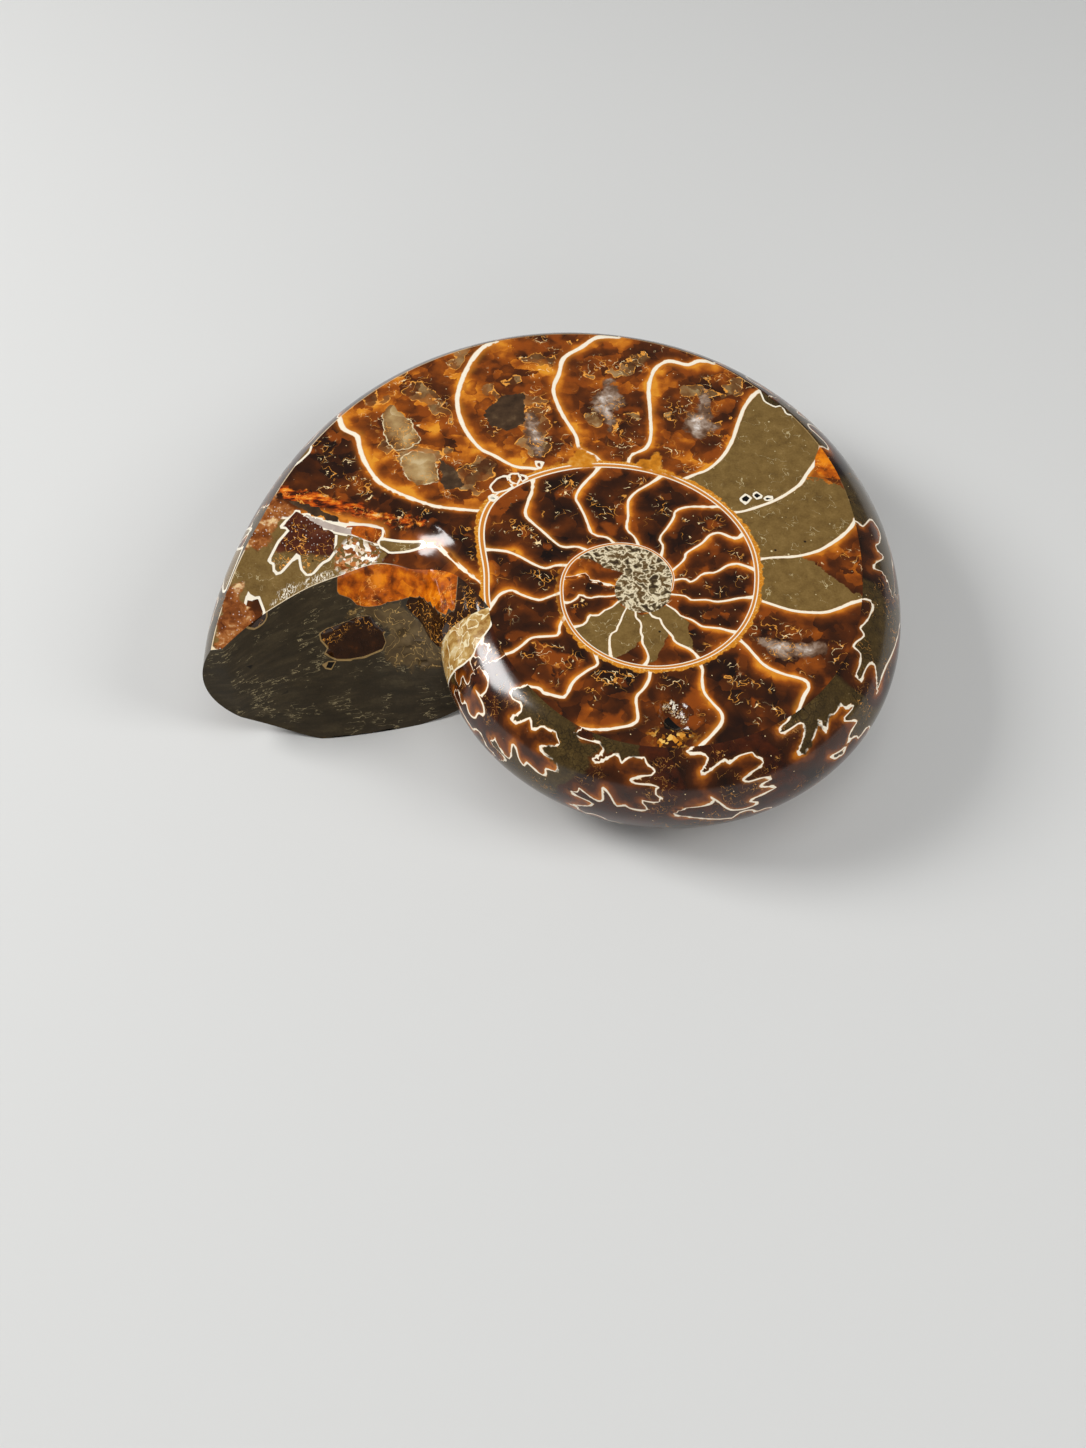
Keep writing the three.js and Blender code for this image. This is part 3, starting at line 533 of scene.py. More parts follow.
def patchField(corners, drawn, unfold, edgeGap):  # signed gap to the deepest patch, its fill and outline
    best, gaps = np.full(len(corners), farGap), np.full((len(corners), 3), farGap)
    fill, edge = np.zeros(len(corners)), np.zeros(len(corners))
    for name, bright, points in drawn:
        line = unfold(np.array(points + points[:1], float))
        low, high = line.min(0) - 2, line.max(0) + 2
        near = np.flatnonzero(((corners > low) & (corners < high)).all((1, 2)))
        if not len(near):
            continue
        flat = corners[near].reshape(-1, 2)
        gap = lineDistance(flat, line)
        gap = np.where(insideOutline(flat, line[:-1]), -gap, gap).reshape(-1, 3)
        closer = gap.min(1) < best[near]
        chosen = near[closer]
        best[chosen], gaps[chosen] = gap[closer].min(1), gap[closer]
        fill[chosen], edge[chosen] = fills[name], bright
    fill, edge = np.repeat(fill[:, None], 3, 1), np.repeat(edge[:, None], 3, 1)
    return np.stack([gaps, fill, edge, edgeGap.reshape(-1, 3)], -1).reshape(-1, 4)


def insideOutline(points, outline):
    inside = np.zeros(len(points), bool)
    for start, end in zip(outline, np.roll(outline, -1, 0)):
        spans = (start[1] > points[:, 1]) != (end[1] > points[:, 1])
        if spans.any():
            meet = start[0] + (points[:, 1] - start[1]) / (end[1] - start[1]) * (end[0] - start[0])
            inside ^= spans & (points[:, 0] < meet)
    return inside


vug = dict(angle=-81, radius=16.3, halfWidth=1.5, halfLength=2.0, depth=1.1, rings=9, perRing=34,
           waves=((0.12, 3, 1), (0.06, 7, 0)),  # of its rings: height, number round and start
           crystals=16.0, crystalHeight=0.4, crystalWidth=0.15, crystalSides=5, crystalLean=0.6,
           crystalTurn=6.28, smallestCrystal=0.5, bedReach=0.9, seed=5,
           crystalBand=[[-85.5, 14.7], [-83.4, 14], [-79.9, 14.4], [-76.9, 15.4], [-75.2, 16.9],
                        [-76.5, 17.9], [-78.1, 17.5], [-78.9, 16.6], [-81, 15.9], [-83.2, 15.6]])


def vugPlace():  # its middle, and the direction there from the centre
    middle = polarPlan(np.array([[vug["angle"], vug["radius"]]], float))[0]
    return middle, middle / np.hypot(*middle)


def vugShare(points):  # 0 in the middle of the little crystal hollow, 1 at its edge
    middle, out = vugPlace()
    gap = points[:, :2] - middle
    return np.hypot(gap @ out / vug["halfLength"], gap @ [-out[1], out[0]] / vug["halfWidth"])


def vugRings():
    middle, out = vugPlace()
    turn = np.linspace(0, 2 * math.pi, vug["perRing"] + 1)
    wobble = sum((height * np.sin(number * turn + start) for height, number, start in vug["waves"]), 1)
    width, length = np.cos(turn) * vug["halfWidth"], np.sin(turn) * vug["halfLength"]
    ring = width[:, None] * [-out[1], out[0]] + length[:, None] * out
    return [middle + ring * share * wobble[:, None] for share in np.linspace(0.1, 1.0, vug["rings"])]


def fillOutline(outline, creases, spacing):  # triangles inside a flat outline, with creases as edges
    chance = np.random.default_rng(meshing["seed"])
    low, high = outline.min(0), outline.max(0)
    rows = np.arange(low[1], high[1], spacing * math.sqrt(3) / 2)
    columns = np.arange(low[0] - spacing, high[0] + spacing, spacing)
    grid = np.array([[x + spacing / 2 * (index % 2), y] for index, y in enumerate(rows) for x in columns])
    grid += chance.uniform(-1, 1, grid.shape) * meshing["jitter"] * spacing
    grid = grid[insideOutline(grid, outline)]
    fixed = np.concatenate([outline] + creases)
    tree = kdtree.KDTree(len(fixed))
    for index, point in enumerate(fixed):
        tree.insert((point[0], point[1], 0), index)
    tree.balance()
    limit = spacing * meshing["clearance"]
    grid = np.array([point for point in grid if tree.find((point[0], point[1], 0))[2] > limit])
    points = np.concatenate([fixed, grid])
    edges = [(index, (index + 1) % len(outline)) for index in range(len(outline))]
    start = len(outline)
    for crease in creases:
        edges += [(index, index + 1) for index in range(start, start + len(crease) - 1)]
        start += len(crease)
    made = delaunay_2d_cdt([Vector(point) for point in points], edges, [], 0, 1e-5, True)
    sources = np.array([found[0] if found else -1 for found in made[3]])
    points, faces = np.array([tuple(point) for point in made[0]]), np.array(made[2])
    return points, faces[insideOutline(points[faces].mean(1), outline)], sources


def pinEdge(values, sources, fixed):  # the outline keeps its own values
    onEdge = (sources >= 0) & (sources < len(fixed))
    values[onEdge] = fixed[sources[onEdge]]


def evenSteps(start, end, size):
    return np.linspace(start, end, int((start - end) / size) + 1)


def columnAngles():  # even steps along the widest line of the rim
    angles = np.linspace(firstAngle, mouthAngle, 2000)
    run = rimAdvance(angles)
    count = int((run[-1] - run[0]) / meshing["rimStep"])
    return np.interp(np.linspace(run[0], run[-1], count + 1), run, angles)


def rimGrid(angles):
    middle, width, upper, lower = rimSection(angles)
    top = upperEdgeAngle(angles)
    above = np.linspace(1, 0, meshing["upperRows"] + 1)[:, None] * top
    below = np.linspace(0, -math.pi / 2, meshing["lowerRows"] + 1)[1:, None] * np.ones_like(top)
    swing = np.concatenate([above, below])
    radius = middle + width * np.cos(swing)
    height = faceHeight - shell["midPlaneDrop"] + np.where(swing > 0, upper, lower) * np.sin(swing)
    return radius, height


def faceHeightAt(points):
    angle, radius = turnOf(points, wallAt, (0, 1, 2), wallAt)
    height = faceHeight - bevelDrop(unshift(angle, radius, faceHeight), radius)
    share = vugShare(points)
    return height - vug["depth"] * np.sqrt(np.clip(1 - share**2, 0, 1))


def undersideAt(points):
    angle, radius = turnOf(points, hollowAt, (-1, 0, 1, 2), flankCrest)
    angle = unshift(angle, radius, 0.0)
    seam = flankHeight(angle - 360, radius)
    share = np.clip((radius / hollowAt(angle) - 1) / shell["shoulder"], 0, 1)
    swell = np.sqrt(1 - (1 - share) ** 2)
    return np.maximum(blendTo(seam, flankHeight(angle, radius), swell), 0)


def cornerTurns(points, faces, edgeAt, turns, reachAt):  # each corner's angle, on its own face's turn
    middle = points[faces].mean(1)
    angle, _ = turnOf(middle, edgeAt, turns, reachAt)
    corners = points[faces]
    raw = np.degrees(np.arctan2(corners[..., 1], corners[..., 0]))
    radius = np.hypot(corners[..., 0], corners[..., 1])
    return angle[:, None] + (raw - angle[:, None] + 180) % 360 - 180, radius


def arcLengths(radius, height):
    steps = np.hypot(np.diff(radius, axis=0), np.diff(height, axis=0))
    return np.concatenate([np.zeros((1, radius.shape[1])), np.cumsum(steps, 0)])


def polarPlan(line):  # [degrees, millimetres] to plan places
    return line[:, 1:] * np.stack([np.cos(np.radians(line[:, 0])), np.sin(np.radians(line[:, 0]))], 1)


def rimPlan(line):  # [degrees, millimetres down] to the unrolled rim
    return np.stack([rimAdvance(line[:, 0]), line[:, 1]], 1)


def faceSheet(angles, sutures):
    edge = place(angles, faceReach(angles), faceHeight - bevelDrop(angles, faceReach(angles)))
    reach = float(faceReach(np.float64(mouthAngle)))
    inner = float(wallAt(firstAngle))
    radii = evenSteps(reach, inner, meshing["breakStep"])
    arch = place(mouthAngle, radii, faceHeight - bevelDrop(mouthAngle, radii))
    outline = np.concatenate([edge, arch[1:-1]])
    turns = np.arange(0, firstAngle, meshing["wallStep"])
    wall = place(turns, wallAt(turns), faceHeight, hold=0)[:, :2]
    circle = np.radians(np.arange(0, 361, meshing["discStep"]))
    disc = shell["discRadius"] * np.stack([np.cos(circle), np.sin(circle)], 1)
    wall = np.concatenate([wall, edge[:1, :2]])
    points, faces, sources = fillOutline(outline[:, :2], [wall, disc] + vugRings(), meshing["faceStep"])
    height = faceHeightAt(points)
    pinEdge(height, sources, outline[:, 2])
    angle, radius = cornerTurns(points, faces, wallAt, (0, 1, 2), wallAt)
    angle, radius, plan = angle.ravel(), radius.ravel(), points[faces].reshape(-1, 2)
    placed = [polarPlan(line) for line in sutures]
    chamber, span = chamberField(angle, radius, plan, sutures, placed, meshing["faceNear"])
    low, high = wallAt(angle - 360), wallAt(angle)
    low = np.where(angle < 360, shell["discRadius"], low)
    across = np.clip((radius - low) / np.maximum(high - low, 0.05), 0, 1)
    wallGap = np.full(len(plan), farGap)
    near = radius < meshing["wallNear"]
    wallGap[near] = lineDistance(plan[near], wall)
    marks = np.stack([chamber, span, wallGap, across], 1)
    edgeGap = lineDistance(plan, np.concatenate([outline, outline[:1]])[:, :2])
    extras = patchField(plan.reshape(-1, 3, 2), patches["face"], polarPlan, edgeGap)
    return np.column_stack([points, height]), faces, marks, extras


def rimSheet(angles, lines):
    radius, height = rimGrid(angles)
    points = place(angles, radius, np.maximum(height, 0))
    rows, columns = radius.shape
    corner = np.arange(rows * columns).reshape(rows, columns)
    a, b, c, d = corner[:-1, :-1], corner[1:, :-1], corner[1:, 1:], corner[:-1, 1:]
    faces = np.concatenate([np.stack([a, b, c], -1).reshape(-1, 3), np.stack([a, c, d], -1).reshape(-1, 3)])
    growth = np.broadcast_to(rimAdvance(angles), radius.shape).ravel()
    across = arcLengths(radius, height).ravel()
    unrolled = np.stack([growth, across], 1)
    chamber, span = chamberField(growth, across, unrolled, lines, lines, meshing["rimNear"])
    marks = np.stack([chamber, span, np.full_like(across, farGap), across], 1)
    extras = patchField(unrolled[faces], patches["rim"], rimPlan, across[faces])
    return points.reshape(-1, 3), faces, marks[faces].reshape(-1, 4), extras


def undersideSheet(angles, lines):
    crest = place(angles, flankCrest(angles), flankHeight(angles, flankCrest(angles)))
    outer, inner, covered = flankCrest(np.array([mouthAngle]))[0], hollowAt(mouthAngle), crest[0]
    radii = evenSteps(outer, inner, meshing["breakStep"])
    last = place(mouthAngle, radii, flankHeight(mouthAngle, radii))
    radii = np.linspace(inner, math.hypot(*covered[:2]), meshing["hollowSpans"])
    first = place(firstAngle, radii, flankHeight(firstAngle, radii))
    outline = np.concatenate([crest, last[1:], first[1:-1]])
    creases = []
    for share in (0, 0.04, 0.15, 0.4, 1):  # across the shoulder of the hollow
        start, end = (0, mouthAngle - 8) if share else (innerAngle, mouthAngle + 0.01)
        turns = np.arange(start, end, meshing["hollowStep"])
        if share == 0:
            turns[-1] = mouthAngle
        radius = hollowAt(turns) * (1 + shell["shoulder"] * share)
        creases.append(place(turns, radius, 0, hold=0)[:, :2])
    creases[0][-1] = last[-1, :2]
    points, faces, sources = fillOutline(outline[:, :2], creases, meshing["undersideStep"])
    height = undersideAt(points)
    pinEdge(height, sources, outline[:, 2])
    angle, radius = cornerTurns(points, faces, hollowAt, (-1, 0, 1, 2), flankCrest)
    angle, radius = angle.ravel(), radius.ravel()
    rimLength = arcLengths(*rimGrid(angles))[-1]
    across = np.interp(np.maximum(angle, firstAngle), angles, rimLength) * innerTurns(angle)
    across = across + flankCrest(angle) - radius
    growth = rimAdvance(angle)
    unrolled = np.stack([growth, across], 1)
    chamber, span = chamberField(growth, across, unrolled, lines, lines, meshing["rimNear"])
    marks = np.stack([chamber, span, np.full_like(across, farGap), across], 1)
    extras = patchField(unrolled.reshape(-1, 3, 2), patches["rim"], rimPlan, across)
    marks, extras = (rows.reshape(-1, 3, 4)[:, ::-1].reshape(-1, 4) for rows in (marks, extras))
    return np.column_stack([points, np.maximum(height, 0)]), faces[:, ::-1], marks, extras


def breakSheet(angles):  # the broken end, laid out by radius and height
    step = meshing["breakStep"]
    reach, inner = float(faceReach(np.float64(mouthAngle))), float(wallAt(firstAngle))
    radii = evenSteps(reach, inner, step)[::-1]
    ending = [np.stack([radii, faceHeight - bevelDrop(mouthAngle, radii)], 1)]
    radius, height = rimGrid(angles)
    ending.append(np.stack([radius[1:, -1], height[1:, -1]], 1))
    outer, hollow = flankCrest(np.array([mouthAngle]))[0], hollowAt(mouthAngle)
    radii = evenSteps(outer, hollow, step)[1:]
    ending.append(np.stack([radii, flankHeight(mouthAngle, radii)], 1))
    ending = np.concatenate(ending)
    covered = [np.stack([radius[:, 0], height[:, 0]], 1)]
    radii = np.linspace(hollow, radius[-1, 0], meshing["hollowSpans"])[::-1][1:]
    covered.append(np.stack([radii, flankHeight(firstAngle, radii)], 1))
    covered = np.concatenate(covered)[1:-1]
    outline = np.concatenate([ending, covered[::-1]])
    fixed = np.concatenate([place(mouthAngle, *ending.T), place(firstAngle, *covered[::-1].T)])
    pits = [np.array(corners + corners[:1]) for kind, _, corners in patches["broken"]
            if kind in ("black", "polished")
            and max(height for _, height in corners) < meshing["pitCeiling"]]
    section, faces, sources = fillOutline(outline, pits, step)
    sunk = np.zeros(len(section))
    for pit in pits:
        depth = np.minimum(lineDistance(section, pit), meshing["pitDepth"])
        sunk = np.maximum(sunk, np.where(insideOutline(section, pit[:-1]), depth, 0))
    gap = lineDistance(section, covered)
    edgeGap = lineDistance(section, np.concatenate([outline, outline[:1]]))
    hold = easeInOut(gap / meshing["breakHold"])
    points = place(mouthAngle, section[:, 0], section[:, 1], hold=hold, ahead=-sunk)
    pinEdge(points, sources, fixed)
    points[:, 2] = np.maximum(points[:, 2], 0)
    # It counts as past the last chamber and far from any suture.
    marks = np.stack([np.full_like(gap, 31), np.full_like(gap, 40), edgeGap, gap], 1)
    faces = faces[:, ::-1]
    extras = patchField(section[faces], patches["broken"], lambda line: line, edgeGap[faces])
    return points, faces, marks[faces].reshape(-1, 4), extras


def makeShell():
    sutures = faceSutures()
    angles = columnAngles()
    lines = rimSutures([line[-1, 0] for line in sutures])
    sheets = [faceSheet(angles, sutures), rimSheet(angles, lines), undersideSheet(angles, lines),
              breakSheet(angles)]
    points, faces, marks, extras = zip(*sheets)
    print("sheets made", [len(rows) for rows in faces], "faces")
    starts = np.cumsum([0] + [len(rows) for rows in points[:-1]])
    faces = np.concatenate([rows + start for rows, start in zip(faces, starts)])
    region = np.repeat(np.arange(len(sheets)), [len(rows) for rows in marks])
    points, marks, extras = (np.concatenate(rows) for rows in (points, marks, extras))
    _, kept, merged = np.unique(np.round(points / 1e-3).astype(int), axis=0, return_index=True,
                                return_inverse=True)
    points, faces = points[kept], merged.ravel()[faces]
    whole = (faces[:, 0] != faces[:, 1]) & (faces[:, 1] != faces[:, 2]) & (faces[:, 2] != faces[:, 0])
    marks, extras = marks.reshape(-1, 3, 4)[whole], extras.reshape(-1, 3, 4)[whole]
    return points, faces[whole], marks, extras, region.reshape(-1, 3)[whole]


def cornerColours(mesh, name, values):
    layer = mesh.attributes.new(name, "FLOAT_COLOR", "CORNER")
    layer.data.foreach_set("color", np.ascontiguousarray(values, np.float32).ravel())


def makePiece(name, points, faces, centre):
    mesh = bpy.data.meshes.new(name)
    mesh.from_pydata(((points - centre) * metres).tolist(), [], faces.tolist())
    mesh.shade_smooth()
    piece = bpy.data.objects.new(name, mesh)
    bpy.context.scene.collection.objects.link(piece)
    return piece


points, faces, marks, extras, region = makeShell()
centre = np.append((points.min(0) + points.max(0))[:2] / 2, 0)  # bottom centre of the box
fossil = makePiece("polishedAmmonite", points, faces, centre)
cornerColours(fossil.data, "marks", marks)
cornerColours(fossil.data, "patches", extras)
rim, under, broken = (region == 1) * 1.0, (region == 2) * 1.0, (region == 3) * 1.0
cornerColours(fossil.data, "zones", np.stack([rim, under, broken, 1 - rim - under - broken], -1))
fossil.data.set_sharp_from_angle(angle=math.radians(meshing["sharpAngle"]))
print("shell", len(points), "points", len(faces), "faces")

finish = dict(
    crystal=[(0.0, (120, 66, 24)), (0.35, (206, 164, 104)), (0.6, (246, 236, 214)), (1.0, (255, 252, 244))],
    cream=(250, 240, 218), creamEdge=(214, 150, 70), halo=(226, 142, 42),
    calcite=[(0.0, (226, 148, 40)), (0.1, (200, 114, 26)), (0.22, (146, 72, 14)), (0.4, (92, 43, 10)),
             (0.62, (58, 27, 8)), (0.82, (38, 18, 8)), (1.0, (22, 11, 6))],
    # the fleck colour is for white flecks and curls, partly painted sparkle glints
    glow=(150, 72, 14), gold=(236, 160, 66), fleckAndGlint=(255, 226, 170),
    cloud=[(0.0, (84, 50, 24)), (0.3, (134, 96, 54)), (0.6, (180, 148, 98)), (1.0, (226, 206, 164))],
    stone=[(0.0, (84, 62, 30)), (0.4, (116, 90, 46)), (0.65, (130, 103, 56)), (1.0, (170, 142, 92))],
    stoneSpeck=(222, 204, 156), stoneFlake=(40, 28, 14),
    flankStone=[(0.0, (30, 22, 9)), (0.5, (74, 57, 26)), (1.0, (112, 90, 48))],
    disc=[(0.0, (44, 34, 24)), (0.36, (60, 46, 30)), (0.44, (122, 104, 72)), (0.49, (230, 216, 184)),
          (0.53, (224, 208, 172)), (0.56, (128, 108, 76)), (0.64, (84, 60, 30)), (1.0, (200, 172, 120))],
    maroon=[(0.0, (18, 8, 4)), (0.4, (40, 17, 7)), (0.7, (76, 32, 9)), (1.0, (120, 54, 14))],
    leaf=[(0.0, (186, 104, 20)), (0.2, (118, 58, 12)), (0.45, (66, 31, 8)), (1.0, (30, 15, 6))],
    broken=[(0.0, (31, 26, 16)), (0.5, (54, 45, 30)), (1.0, (84, 72, 49))],
    scratch=(182, 164, 122),
    swirl=[(0.0, (44, 30, 14)), (0.5, (86, 68, 40)), (1.0, (124, 102, 64))],
    orange=[(0.0, (238, 138, 18)), (0.35, (190, 90, 8)), (0.65, (112, 50, 6)), (1.0, (42, 21, 5))],
    polished=[(0.0, (22, 12, 6)), (0.6, (52, 29, 12)), (1.0, (110, 58, 18))],
    druse=[(0.0, (120, 60, 18)), (0.35, (190, 116, 56)), (0.6, (226, 202, 166)), (0.8, (255, 250, 238))],
    nacre=[(0.0, (74, 52, 24)), (0.35, (150, 104, 42)), (0.55, (196, 158, 92)), (0.8, (238, 222, 180))],
    # pale is the painted reflection band on the bevel; its top stop also colours pale specks
    pale=[(0.0, (150, 128, 116)), (1.0, (214, 200, 188))],
    goldFill=[(0.0, (120, 66, 10)), (0.5, (206, 128, 26)), (1.0, (244, 196, 100))],
    star=[(0.0, (62, 36, 18)), (0.4, (112, 84, 64)), (0.7, (166, 144, 126)), (1.0, (240, 232, 224))],
    pocket=[(0.0, (30, 20, 12)), (0.6, (74, 54, 36)), (1.0, (116, 92, 64))],
    fire=[(0.0, (24, 10, 5)), (0.35, (70, 26, 6)), (0.55, (196, 78, 8)), (0.75, (244, 150, 40)),
          (0.95, (255, 226, 160))],
    mottle=[(0.0, (86, 40, 12)), (0.4, (134, 72, 28)), (0.65, (166, 102, 50)), (0.9, (232, 196, 144))],
    speckled=[(0.0, (44, 18, 10)), (0.5, (76, 34, 18)), (1.0, (120, 66, 40))], stoneLevel=6.2,
    # the edge line colour is the painted highlight along the face's edge
    black=(14, 10, 7), wallCore=(206, 128, 44), edgeHighlight=(226, 190, 132), brokenEdge=(150, 122, 76),
    polishedRoughness=0.15, brokenRoughness=0.78, crystalRoughness=0.22,
    slowScale=0.24, middleScale=0.8, fineScale=5.0, driftScale=0.55, drift=(1.8, 1.8, 1.8),
    sutureWidth=0.08, sutureGrowth=0.006, rimSutureWidth=0.12, haloReach=5.0, haloFace=0.7, haloRim=0.4,
    # the edge width is the width of the painted highlight along the face's edge
    wallWidth=0.06, wallGrowth=0.011, edgeHighlightWidth=(0.05, 0.12), stoneSlope=0.55,
)
rampSlots = 32  # the most stops that a colour ramp holds
# How much of each chamber's ground on the rim is stone.
rimStone = [0.3, 0.6, 0.4, 0.7, 0.5, 0.5, 0.4, 0.3, 0.5, 0.6, 0.4, 0.5, 0.3, 0.6, 0.5, 0.6, 0.5, 0.25, 0.85,
            0.1, 0.2, 0.6, 0.9, 0.9, 0.95, 0.4, 0.3, 0.4, 0.3, 0.4, 0.7]
# Each chamber from the innermost out: stone up to this share of its height, at its later end; where the
# stone starts; pale clouds; darkness of the middle.
chambers = [
    (0, 0, 0, 0.5), (0, 0, 0, 0.6), (0, 0, 0, 0.6), (1, 0, 0, 0.3), (0.5, 0, 0, 0.5), (0.4, 0, 0, 0.5),
    (0.3, 0, 0, 0.8), (0, 0, 0, 0.8), (0, 0, 0, 0.8), (0, 0, 0, 0.7), (0, 0, 0, 0.7),
    (0, 0, 0, 0.8), (0, 0, 0, 0.8), (0, 0, 0, 1.0), (0, 0, 0, 1.0), (0, 0, 0, 0.8), (0, 0, 0, 0.9),
    (0, 0, 0, 0.8), (0, 0, 0, 0.7), (0, 0, 0, 0.7), (0, 0, 0, 0.8), (0, 0, 0, 0.6),
    (0.45, 0, 0, 0.5), (0.72, 0, 0, 0.2), (1, 0, 0, 0.3), (0, 0, 0.6, 0.35), (0, 0, 0.6, 0.35),
    (0, 0, 0.8, 0.2), (0, 0, 0.9, 0.15), (0, 0, 0, 0.85), (1, 0.45, 0, 0.4),
]


def lin(colour):  # screen values to the linear ones a shader takes
    return [*(((value / 255 + 0.055) / 1.055) ** 2.4 for value in colour), 1.0]


class Nodes:  # short ways to add and join nodes
    def __init__(self, tree):
        self.tree = tree

    def add(self, kind, inputs, **settings):
        node = self.tree.nodes.new(kind)
        for name, value in settings.items():
            setattr(node, name, value)
        for socket, value in inputs.items():
            if isinstance(value, bpy.types.NodeSocket):
                self.tree.links.new(value, node.inputs[socket])
            elif value is not None:
                node.inputs[socket].default_value = value
        return node

    def calc(self, operation, first, second=None, third=None, clamp=False):
        return self.add("ShaderNodeMath", {0: first, 1: second, 2: third}, operation=operation,
                        use_clamp=clamp).outputs[0]

    def times(self, first, second):
        return self.calc("MULTIPLY", first, second)

    def timesPlus(self, first, second, third, clamp=False):
        return self.calc("MULTIPLY_ADD", first, second, third, clamp)

    def minus(self, first, second):
        return self.calc("SUBTRACT", first, second)

    def inverse(self, value):
        return self.calc("SUBTRACT", 1, value)

    def sway(self, noise, amount, base, clamp=False):  # noise about a half, added to a base
        return self.calc("MULTIPLY_ADD", self.calc("SUBTRACT", noise, 0.5), amount, base, clamp)

    def vector(self, operation, first, second=None, third=None, output=0, scale=None):
        return self.add("ShaderNodeVectorMath", {0: first, 1: second, 2: third, "Scale": scale},
                        operation=operation).outputs[output]

    def mix(self, share, first, second):
        return self.add("ShaderNodeMix", {0: share, 6: first, 7: second}, data_type="RGBA").outputs[2]

    def mixValue(self, share, first, second):
        return self.add("ShaderNodeMix", {0: share, 2: first, 3: second}, data_type="FLOAT").outputs[0]

    def ease(self, value, low, high):  # 0 at low, 1 at high
        return self.add("ShaderNodeMapRange", {0: value, 1: low, 2: high}, clamp=True,
                        interpolation_type="SMOOTHSTEP").outputs[0]

    def ramp(self, value, stops, interpolation="LINEAR"):
        node = self.add("ShaderNodeValToRGB", {0: value})
        node.color_ramp.interpolation = interpolation
        elements = node.color_ramp.elements
        elements[0].position, elements[-1].position = 0, 1
        for index, (position, colour) in enumerate(stops):
            element = elements[index] if index < 2 else elements.new(position)
            element.position, element.color = position, colour
        return node.outputs

    def tones(self, value, name):  # a ramp from the finish table
        return self.ramp(value, [(position, lin(colour)) for position, colour in finish[name]])[0]

    def tint(self, name, stop=None):
        return lin(finish[name] if stop is None else finish[name][stop][1])

    def noise(self, vector, scale, detail=2.0, roughness=0.5, output=0):
        return self.add("ShaderNodeTexNoise", {"Vector": vector, "Scale": scale, "Detail": detail,
                                               "Roughness": roughness}).outputs[output]

    def cells(self, vector, scale, feature="F1"):
        return self.add("ShaderNodeTexVoronoi", {"Vector": vector, "Scale": scale}, feature=feature).outputs


def emptyMaterial(name):  # with its nodes and the place in metres
    material = bpy.data.materials.new(name)
    material.use_nodes = True
    material.node_tree.nodes.clear()
    nodes = Nodes(material.node_tree)
    return material, nodes, nodes.add("ShaderNodeTexCoord", {}).outputs["Object"]


